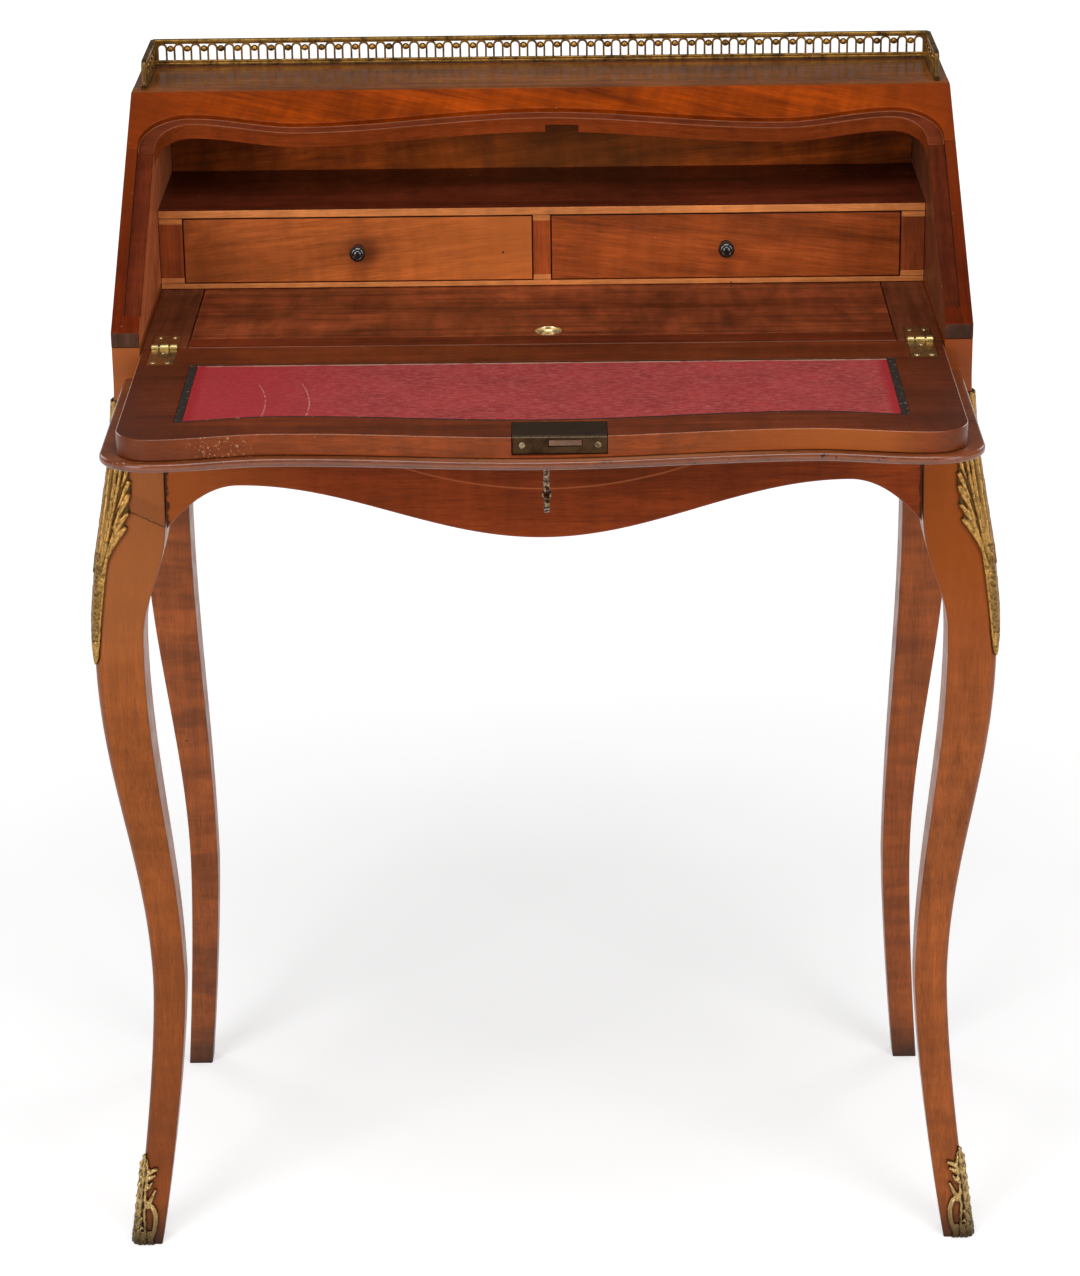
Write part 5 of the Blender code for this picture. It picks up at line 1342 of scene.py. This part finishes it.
def rib(across, down, points, height):
    """Height field, in mm, of a rounded rib along a path."""
    near = np.full(across.shape, 9.0)
    for s, d, half in smooth_path(points):
        near = np.minimum(near, ((across - s) ** 2 + (down - d) ** 2) / max(half, 0.2) ** 2)
    return height * np.sqrt(np.clip(1 - near, 0.0, None))


def raised(field, across, down, points, height):
    return np.maximum(field, rib(across, down, points, height))


def lumps(across, down, size, seed, grid=64):
    """Smooth random heights between -1 and 1, about one lump in each square of a size."""
    heights = np.random.default_rng(seed).uniform(-1, 1, (grid, grid))
    u, v = across / size + grid / 2, down / size
    i, j = np.floor(u).astype(int), np.floor(v).astype(int)
    p, q = u - i, v - j
    p, q = p * p * (3 - 2 * p), q * q * (3 - 2 * q)
    near = heights[i % grid, j % grid] * (1 - p) + heights[(i + 1) % grid, j % grid] * p
    far = heights[i % grid, (j + 1) % grid] * (1 - p) + heights[(i + 1) % grid, (j + 1) % grid] * p
    return near * (1 - q) + far * q


def knee_relief(across, down):
    """Acanthus leaf: long flutes, lobes that curl out to the sides, a stippled stem and a bud; in mm."""
    s = np.abs(across)
    edge = ((0, 8.0), (3, 11.5), (14, 12.6), (20, 11.8), (33, 12.8), (40, 12.0), (50, 13.2), (57, 15.0),
            (65, 17.0), (73, 18.0), (78, 16.4), (84, 19.0), (87, 18.6), (90, 13.6), (95, 18.2), (98, 18.6),
            (101, 16.6), (105, 11.0), (111, 8.2), (121, 6.4))
    web = np.interp(down, *zip(*edge)) + 0.7 * lumps(across, down, 2.6, 3)
    field = np.where((s < web) & (down < 121), 1.0, 0.0)
    flutes = (((0, 1, 1.7), (0, 40, 2.1), (0, 80, 2.0), (0, 114, 1.5)),
              ((3.9, 1, 1.6), (4.2, 30, 1.9), (3.9, 65, 1.9), (2.6, 100, 1.5), (1.9, 120, 1.1)),
              ((7.8, 2, 1.6), (8.2, 28, 1.9), (7.8, 55, 1.9), (5.6, 88, 1.6), (3.6, 114, 1.2)))
    lobes = (((3.4, 131, 1.6), (6.0, 117, 2.4), (10.4, 106.5, 2.9), (14.8, 99.4, 2.7), (17.0, 96.4, 1.9)),
             ((6.0, 112, 1.7), (9.0, 101, 2.5), (13.0, 92, 2.9), (17.0, 85.6, 2.0)),
             ((8.0, 96, 1.7), (11.0, 85, 2.5), (14.4, 77, 2.8), (16.2, 71.6, 2.0)),
             ((9.6, 80, 1.6), (12.4, 70, 2.3), (15.0, 62, 2.3)),
             ((10.2, 64, 1.5), (12.2, 56, 2.1), (12.8, 50, 1.6)),
             ((9.8, 48, 1.4), (11.2, 41, 1.8), (11.2, 35, 1.4)),
             ((9.6, 33, 1.3), (11.0, 27, 1.7), (11.4, 22, 1.3)),
             ((9.4, 20, 1.2), (10.8, 13, 1.6), (10.6, 7, 1.3)))
    for path in flutes:
        field = raised(field, s, down, path, 2.4)
    for path in lobes:
        field = raised(field, s, down, path, 3.3)
        vein = [(p[0] - 0.5, p[1] - 0.5, 0.5) for p in path[1:]]
        field = field - 0.8 * rib(s, down, vein, 1.0) * (field > 1.8)
    rim = ((6.2, 119, 1.2), (5.3, 132, 1.2), (4.7, 150, 1.1), (4.1, 170, 1.0), (3.3, 186, 0.9),
           (2.4, 193, 0.8))
    stem_half = np.interp(down, [p[1] for p in rim], [p[0] for p in rim])
    stem = (s < stem_half) & (down > 112) & (down < 192)
    field = np.maximum(field, np.where(stem, 1.7 + 0.35 * lumps(across, down, 1.2, 5), 0.0))
    field = raised(field, s, down, rim, 2.4)
    field = raised(field, s, down, ((0, 122, 1.5), (0, 123, 1.5)), 3.2)
    bud = ((0, 186, 2.4), (0, 193, 3.3), (0, 199, 2.4), (0, 203.4, 0.5))
    field = raised(field, s, down, bud, 3.0)
    return np.where(field > 0.3, field + 0.16 * lumps(across, down / 4, 1.3, 7), field)


def foot_relief(across, down):
    """Openwork that rises from a ribbed fan at the floor: scrolls, a horn, a knobbed leaf, its tip; in mm."""
    s = np.abs(across)
    paths = (((0.3, 0.9, 0.7), (0.5, 6, 1.0), (0.7, 12, 1.1), (0.8, 20, 1.1), (0.7, 28, 1.0), (0.7, 38, 1.0),
              (0.7, 50, 1.0), (0.5, 62, 1.2), (0.0, 74, 1.4)),
             ((1.8, 5, 0.7), (3.0, 12, 1.2), (3.3, 20, 1.3), (3.1, 28, 1.2), (3.1, 36, 1.2), (4.4, 43, 1.6)),
             ((3.4, 16.5, 2.0), (6.2, 14.2, 2.4), (8.6, 12.8, 1.8)),
             ((3.2, 22.5, 1.8), (6.0, 19.6, 2.0), (8.0, 17.8, 1.4)),
             ((3.2, 31, 1.6), (5.8, 26.4, 1.8), (7.0, 23.4, 0.8)),
             ((5.4, 45, 2.4), (7.6, 38, 2.3), (9.8, 31.6, 1.5)),
             ((4.6, 42.5, 2.4), (9.2, 45, 2.6), (12.6, 52, 2.5), (13.2, 60, 2.5), (12.4, 68, 2.5),
              (10.6, 75.6, 2.2)),
             ((4.2, 44, 1.5), (4.0, 52, 1.4), (5.4, 60, 1.5), (5.6, 67, 1.5), (4.4, 75, 1.6)))
    knobs = ((9.2, 12.6, 1.8), (8.4, 17.8, 1.6), (10.2, 30.8, 1.8), (1.6, 55, 1.6), (2.6, 63, 1.7),
             (6.0, 72, 1.6))
    field = np.where((s < 3.2) & (down > 9) & (down < 77), 0.8, 0.0)
    for path in paths:
        field = raised(field, s, down, path, 3.0)
        vein = [(p[0] + 0.6, p[1], 0.45) for p in path[:-1]]
        field = field - 0.9 * rib(s, down, vein, 1.0) * (field > 1.6)
    for at, low, half in knobs:
        field = raised(field, s, down, ((at, low, half), (at, low + 0.4, half)), 3.5)
    field = np.maximum(field, np.where((down > 69) & (s < 12.6 + 0.3 * (down - 69)), 0.9, 0.0))
    for foot in (0.0, 3.6, 7.2, 10.6, 13.6):
        field = raised(field, s, down, ((1.8 + foot * 0.6, 66, 1.1), (foot, 77.4, 1.9)), 2.6)
    trunk = np.clip((5.0 - s) / 2, 0, 1) * np.clip((70 - down) / 8, 0, 1)
    field = field * (1 + 0.32 * trunk * np.sin(0.66 * down + 0.5 * s))
    return np.where(field > 0.3, field + 0.26 * lumps(across, down, 1.6, 11), field)


def mount(node, side, top, long, half, relief, finish, pitch=0.00045):
    """A cast mount: the kept cells of a relief, laid on the leg's corner, with its back on the wood."""
    rows, cols = round(long / pitch), 2 * round(half / pitch)
    down, across = np.meshgrid(np.linspace(0, long, rows + 1), np.linspace(-half, half, cols + 1),
                               indexing="ij")
    field = relief(across * 1000, down * 1000)
    on = field > KEEP_MM
    kept = on[:-1, :-1] & on[1:, :-1] & on[:-1, 1:] & on[1:, 1:]
    used = np.zeros(on.shape, bool)
    for di in (0, 1):
        for dj in (0, 1):
            used[di:rows + di, dj:cols + dj] |= kept
    number = np.cumsum(used.ravel()).reshape(used.shape) - 1
    under = int(used.sum())
    spots = np.argwhere(used)
    points, crest = [], []
    for lift in (True, False):
        for i, j in spots:
            rise = field[i, j] / 1000 if lift else 0.0
            points.append(corner_point(side, top + down[i, j], across[i, j], MOUNT_SEAT + rise))
            crest.append(field[i, j] / CREST_MM if lift else 0.0)
    faces = []
    for i, j in np.argwhere(kept):
        a, b, c, d = number[i, j], number[i + 1, j], number[i + 1, j + 1], number[i, j + 1]
        faces += [(a, b, c, d), (d + under, c + under, b + under, a + under)]
        walls = ((i, j - 1, a, b), (i + 1, j, b, c), (i, j + 1, c, d), (i - 1, j, d, a))
        for ni, nj, p, q in walls:
            inside_grid = 0 <= ni < rows and 0 <= nj < cols
            if not (inside_grid and kept[ni, nj]):
                faces.append((q, p, p + under, q + under))
    obj = piece(node + "_gilt", points, faces)
    reshape(obj, lambda bm: bmesh.ops.smooth_vert(bm, verts=bm.verts, factor=0.5, use_axis_x=True,
                                                  use_axis_y=True, use_axis_z=True))
    obj.data.attributes.new("crest", "FLOAT", "POINT").data.foreach_set("value", crest)
    dress(obj, "desk", [finish], [node], 70)


def mounts():
    foot_top = WRITING_HEIGHT - MOUNT_SEAT - FOOT_MOUNT_LONG
    for side, hand in HANDS:
        mount(hand + "_knee_mount", side, KNEE_MOUNT_TOP, KNEE_MOUNT_LONG, KNEE_MOUNT_HALF, knee_relief,
              GILT)
        mount(hand + "_foot_mount", side, foot_top, FOOT_MOUNT_LONG, FOOT_MOUNT_HALF, foot_relief,
              FOOT_GILT)


# Camera, floor and light
FOCAL_PX, IMAGE_LONG_PX, SENSOR = 3800.0, 1276.0, 36.0
CAMERA_PLACE = Vector((0.014635, -2.756711, 1.585176))
CAMERA_YAW, CAMERA_PITCH, CAMERA_ROLL = (math.radians(a) for a in (-0.40, 21.54, -0.74))


def camera():
    data = bpy.data.cameras.new("photo_view")
    data.sensor_fit, data.sensor_width = "AUTO", SENSOR
    data.lens = FOCAL_PX / IMAGE_LONG_PX * SENSOR
    ahead = Vector((math.sin(CAMERA_YAW), math.cos(CAMERA_YAW), 0.0))
    right = Vector((math.cos(CAMERA_YAW), -math.sin(CAMERA_YAW), 0.0))
    rise = Vector((0.0, 0.0, 1.0))
    look = ahead * math.cos(CAMERA_PITCH) - rise * math.sin(CAMERA_PITCH)
    up = ahead * math.sin(CAMERA_PITCH) + rise * math.cos(CAMERA_PITCH)
    c, s = math.cos(CAMERA_ROLL), math.sin(CAMERA_ROLL)
    turn = Matrix((right * c + up * s, up * c - right * s, -look)).transposed().to_4x4()
    turn.translation = CAMERA_PLACE
    obj = placed("photo_view", data)
    obj.matrix_world = turn
    bpy.context.scene.camera = obj


FLOOR_R, FLOOR_SIDES, FLOOR_TONE = 14.0, 96, (0.62, 0.62, 0.62)
FLOOR_LIFT, FLOOR_NEAR, FLOOR_FAR = (0.56, 0.95), 0.8, 3.6


def floor():
    """A wide pale floor that reads as white to the eye and in reflections, and keeps the shadow."""
    ring = [(x, y, 0.0) for x, y in circle((0.0, 0.0), FLOOR_R, FLOOR_SIDES)]
    obj = piece("floor", ring, [tuple(range(FLOOR_SIDES))])
    tree = Tree("floor_paper", {"Roughness": 0.9, "Specular IOR Level": 0.1,
                                "Emission Color": (1.0, 1.0, 1.0)})
    paper = tree.noise(tree.where, 3.0, 2.0)
    paper = tree.ramp(paper, [(0.3, times(FLOOR_TONE, 0.985)), (0.7, FLOOR_TONE)])
    rays = tree.add("LightPath", {}).outputs
    seen = tree.sum(rays["Is Camera Ray"], rays["Is Glossy Ray"], "MAXIMUM")
    away = tree.add("VectorMath", {0: tree.where}, operation="LENGTH").outputs[1]
    lift = tree.level(away, FLOOR_NEAR, FLOOR_FAR, *FLOOR_LIFT)
    obj.data.materials.append(tree.done(Base_Color=paper, Emission_Strength=tree.both(seen, lift)))


SKY_LEVEL = 0.16
LAMP_AIM = Vector((0.0, 0.0, 0.6))
LAMPS = (("front_left_box", (-2.0, -2.7, 1.75), (1.5, 2.2), 0.42),
         ("front_right_box", (2.2, -2.6, 1.65), (1.5, 2.2), 0.34),
         ("top_front_box", (0.0, -1.3, 3.1), (2.2, 1.2), 0.52),
         ("back_left_box", (-2.6, 2.4, 2.1), (1.6, 1.6), 0.16),
         ("back_right_box", (2.6, 2.4, 2.1), (1.6, 1.6), 0.16))


def lamp(name, place, aim, size, power):
    data = bpy.data.lights.new(name, "AREA")
    data.shape, data.size, data.size_y, data.energy = "RECTANGLE", size[0], size[1], power
    obj = placed(name, data)
    obj.location = place
    obj.rotation_mode = "QUATERNION"
    obj.rotation_quaternion = (Vector(aim) - Vector(place)).to_track_quat("-Z", "Y")


def light():
    """Soft boxes on both sides in front, weaker ones behind, and a sky that the camera sees as white."""
    world = bpy.data.worlds.new("studio")
    world.use_nodes = True
    nodes, links = world.node_tree.nodes, world.node_tree.links
    sky = nodes["Background"]
    sky.inputs["Color"].default_value = (1.0, 1.0, 1.0, 1.0)
    level = nodes.new("ShaderNodeMapRange")
    level.inputs["To Min"].default_value = SKY_LEVEL
    links.new(nodes.new("ShaderNodeLightPath").outputs["Is Camera Ray"], level.inputs["Value"])
    links.new(level.outputs[0], sky.inputs["Strength"])
    bpy.context.scene.world = world
    for name, place, size, share in LAMPS:
        reach = (Vector(place) - LAMP_AIM).length
        lamp(name, place, LAMP_AIM, size, math.pi ** 2 * reach ** 2 * share)


# Looks
BRASS = metal("worn_brass", (0.66, 0.48, 0.20), (0.17, 0.120, 0.048), 0.32, 60.0, (0.44, 0.68), bump=0.03)
BRIGHT_BRASS = metal("bright_brass", (0.78, 0.62, 0.36), (0.40, 0.29, 0.14), 0.30)
DARK_BRASS = metal("lock_plate_brass", (0.064, 0.033, 0.016), (0.023, 0.012, 0.007), 0.40, 70.0)
SCREW_AND_GLINT_BRASS = metal("lock_screw_and_glint_brass", (0.30, 0.22, 0.13), (0.07, 0.050, 0.026), 0.32, 300.0)
GALLERY_TIP = span("gallery_left")[0].y + DATUM.y
GALLERY_BRASS = metal("gallery_brass", (0.44, 0.240, 0.058), (0.085, 0.043, 0.014), 0.36, 150.0, (0.42, 0.64),
                      tip=GALLERY_TIP)
DARK_STEEL = metal("lock_steel", (0.085, 0.062, 0.040), (0.036, 0.026, 0.018), 0.5)
BOLT_STEEL = metal("bolt_steel", (0.22, 0.12, 0.08), (0.10, 0.055, 0.036), 0.45)
KEY_METAL = metal("key_metal", (0.30, 0.20, 0.13), (0.022, 0.015, 0.010), 0.34, 420.0, (0.44, 0.56))
GILT = metal("gilt_bronze", (0.45, 0.245, 0.070), (0.040, 0.023, 0.010), 0.34, 330.0, (0.46, 0.64),
             crest=True)
FOOT_GILT = metal("gilt_bronze_foot", (0.56, 0.37, 0.150), (0.034, 0.024, 0.014), 0.30, 330.0, (0.48, 0.68),
                  crest=True)
EBONY = ebony("ebony")

ON_SLOPE = (-SLOPE, 0.0, 0.0)
LOOKS = {
    # The left front leg carries a painted sheen on the knee
    "front_left_leg": wood("leg_front_left", (0.328, 0.084, 0.011), "z", 1, 0.32, 0.7, 0.22, mark=glued_joint_and_knee_sheen,
                           foot=True),
    "front_right_leg": wood("leg_front_right", (0.322, 0.084, 0.017), "z", 2, 0.32, 0.9, 0.20, mark=red_top,
                            foot=True),
    "rear_left_leg": wood("leg_rear_left", (0.290, 0.073, 0.015), "z", 3, 0.34, 0.7, curl=1.3, foot=True),
    "rear_right_leg": wood("leg_rear_right", (0.290, 0.071, 0.014), "z", 4, 0.34, 0.7, curl=1.0, foot=True),
    "front_apron": wood("apron_front", (0.280, 0.049, 0.009), "x", 5, 0.34, 0.75, 0.12, mark=veneer_line),
    "side_apron": wood("apron_side", (0.270, 0.060, 0.012), "y", 6, 0.34, 0.7),
    "stile": wood("stile", (0.120, 0.015, 0.002), "y", 7, 0.32, 1.2, 0.08, ON_SLOPE, cloud=1.4,
                  mark=stile_top),
    "rail": wood("sloping_rail", (0.285, 0.042, 0.001), "x", 8, 0.30, 1.3, 0.12, (-SLOPE, 0.0, 0.30), 0.8,
                 1.4, slope_ends),
    "ledge": wood("rebate_ledge", (0.135, 0.026, 0.007), "x", 9, 0.40, 1.0, 0.12),
    "side_ledge": wood("rebate_side", (0.115, 0.019, 0.005), "y", 32, 0.40, 1.4, 0.08, ON_SLOPE, cloud=1.6),
    "wall": wood("opening_wall", (0.320, 0.062, 0.012), "x", 10, 0.36, 0.9, 0.25),
    # Pale arris of the rebate: rubbed wear and a painted highlight
    "arris": wood("rubbed_and_highlit_arris", (0.300, 0.095, 0.042), "x", 29, 0.36, 1.0, 0.2),
    # Pale front arris of the floor rail: worn wood and a painted highlight
    "floor_arris": wood("floor_arris", (0.190, 0.055, 0.024), "x", 37, 0.36, 1.0, 0.2),
    "case_outside": wood("case_outside", (0.255, 0.052, 0.009), "y", 38, 0.34, 1.0, 0.2),
    "fall_outside": wood("fall_outside", (0.270, 0.050, 0.007), "x", 39, 0.28, 1.2, 0.25, (0.0, 0.0, 0.12),
                         0.9, 1.4),
    "end_grain": wood("end_grain", (0.060, 0.026, 0.015), "z", 30, 0.55, 1.8, 0.10, cloud=2.8),
    # Lit and shaded copies of one wood: the left inner face painted light, the right painted shade
    "left_inside": wood("left_inside", (0.520, 0.150, 0.055), "y", 11, 0.42, 0.9, 0.2, ON_SLOPE),
    "right_inside": wood("right_inside", (0.190, 0.056, 0.022), "y", 33, 0.42, 1.1, 0.15, ON_SLOPE),
    "top": wood("top_board", (0.200, 0.058, 0.012), "x", 12, 0.17, 1.8, 0.40, cloud=2.2),
    # The back panel carries a painted shade behind the strike mortise
    "back": wood("back_panel", (0.350, 0.066, 0.007), "x", 13, 0.45, 2.1, 0.12, (0.0, 0.10, 0.0), curl=1.0,
                 cloud=3.6, mark=painted_shade_middle),
    "shelf": wood("shelf", (0.105, 0.018, 0.007), "x", 14, 0.30, 1.7, 0.2, cloud=2.6),
    "nosing": wood("shelf_nosing", (0.610, 0.210, 0.060), "x", 15, 0.42, 0.5, 0.2),
    "tray": wood("drawer_tray", (0.430, 0.098, 0.023), "x", 16, 0.42, 0.7),
    "divider": wood("drawer_divider", (0.340, 0.064, 0.012), "z", 17, 0.40, 1.0, 0.2),
    "side_divider": wood("side_divider", (0.235, 0.048, 0.012), "z", 34, 0.40, 1.4, 0.2),
    "floor": wood("floor_rail", (0.100, 0.0155, 0.004), "x", 18, 0.34, 1.8, 0.2, cloud=2.0),
    "strip": wood("floor_strip", (0.143, 0.037, 0.014), "y", 19, 0.38, 1.5, 0.2, cloud=2.2),
    "cover": wood("well_cover", (0.185, 0.040, 0.013), "x", 20, 0.32, 2.1, 0.2, curl=1.3, cloud=3.4),
    # The left drawer front carries a painted shadow of its knob
    "left_drawer": wood("drawer_front_left", (0.425, 0.104, 0.021), "x", 21, 0.38, 1.0, 0.2, (0.0, 0.10, 0.0),
                        cloud=1.3, mark=drawer_tones_and_knob_shadow),
    "right_drawer": wood("drawer_front_right", (0.272, 0.055, 0.010), "x", 22, 0.38, 1.6, 0.2,
                         (0.0, -0.12, 0.0)),
    # Painted shade of the gap round a drawer front
    "drawer_gap_shade": wood("drawer_gap_shade", (0.050, 0.012, 0.004), "x", 40, 0.5, 1.0, 0.1),
    "lining_x": wood("lining_across", (0.38, 0.19, 0.085), "x", 23, 0.6, 0.5, 0.15),
    "lining_y": wood("lining_along", (0.38, 0.19, 0.085), "y", 24, 0.6, 0.5, 0.15),
    "rail_behind": wood("rail_behind", (0.120, 0.034, 0.014), "x", 25, 0.5, 0.8, 0.2),
    "fall": wood("fall_face", (0.130, 0.025, 0.006), "x", 26, 0.32, 1.5, 0.2, cloud=1.8, mark=dark_ends),
    "fall_edge": wood("fall_edge", (0.238, 0.047, 0.0075), "x", 27, 0.34, 1.0, 0.2, mark=edge_chips),
    # Arrises of the fall: worn wood and a painted highlight; the side ones palest
    "fall_arris": wood("fall_arris", (0.300, 0.085, 0.026), "x", 31, 0.26, 0.9, 0.6, mark=edge_chips),
    "side_arris": wood("side_arris", (0.560, 0.330, 0.250), "y", 35, 0.26, 0.6, 0.6),
    "lip": wood("fall_lip", (0.190, 0.049, 0.015), "x", 28, 0.18, 0.9, 0.6, mark=lip_nicks),
    "lip_top": wood("lip_top", (0.190, 0.049, 0.015), "x", 41, 0.30, 0.9, 0.4, mark=lip_worn),
    # Painted shade inside the strike mortise
    "mortise": wood("strike_mortise", (0.022, 0.008, 0.004), "x", 42, 0.60, 1.0, 0.05),
    "rebate_wall": wood("rebate_wall", (0.070, 0.015, 0.005), "y", 36, 0.42, 1.4, 0.08, ON_SLOPE, cloud=2.0),
}

camera()
floor()
light()
legs(LOOKS)
front_apron(LOOKS["front_apron"])
side_aprons(LOOKS["side_apron"])
case(LOOKS)
inside(LOOKS)
floor_strips(LOOKS["strip"])
well_cover(LOOKS["cover"])
fall(LOOKS)
cloth(cloth_look("crimson_cloth"), tape_look("black_tape"))
hinges()
lock()
key()
gallery()
mounts()

bpy.context.scene.view_settings.view_transform = "Standard"
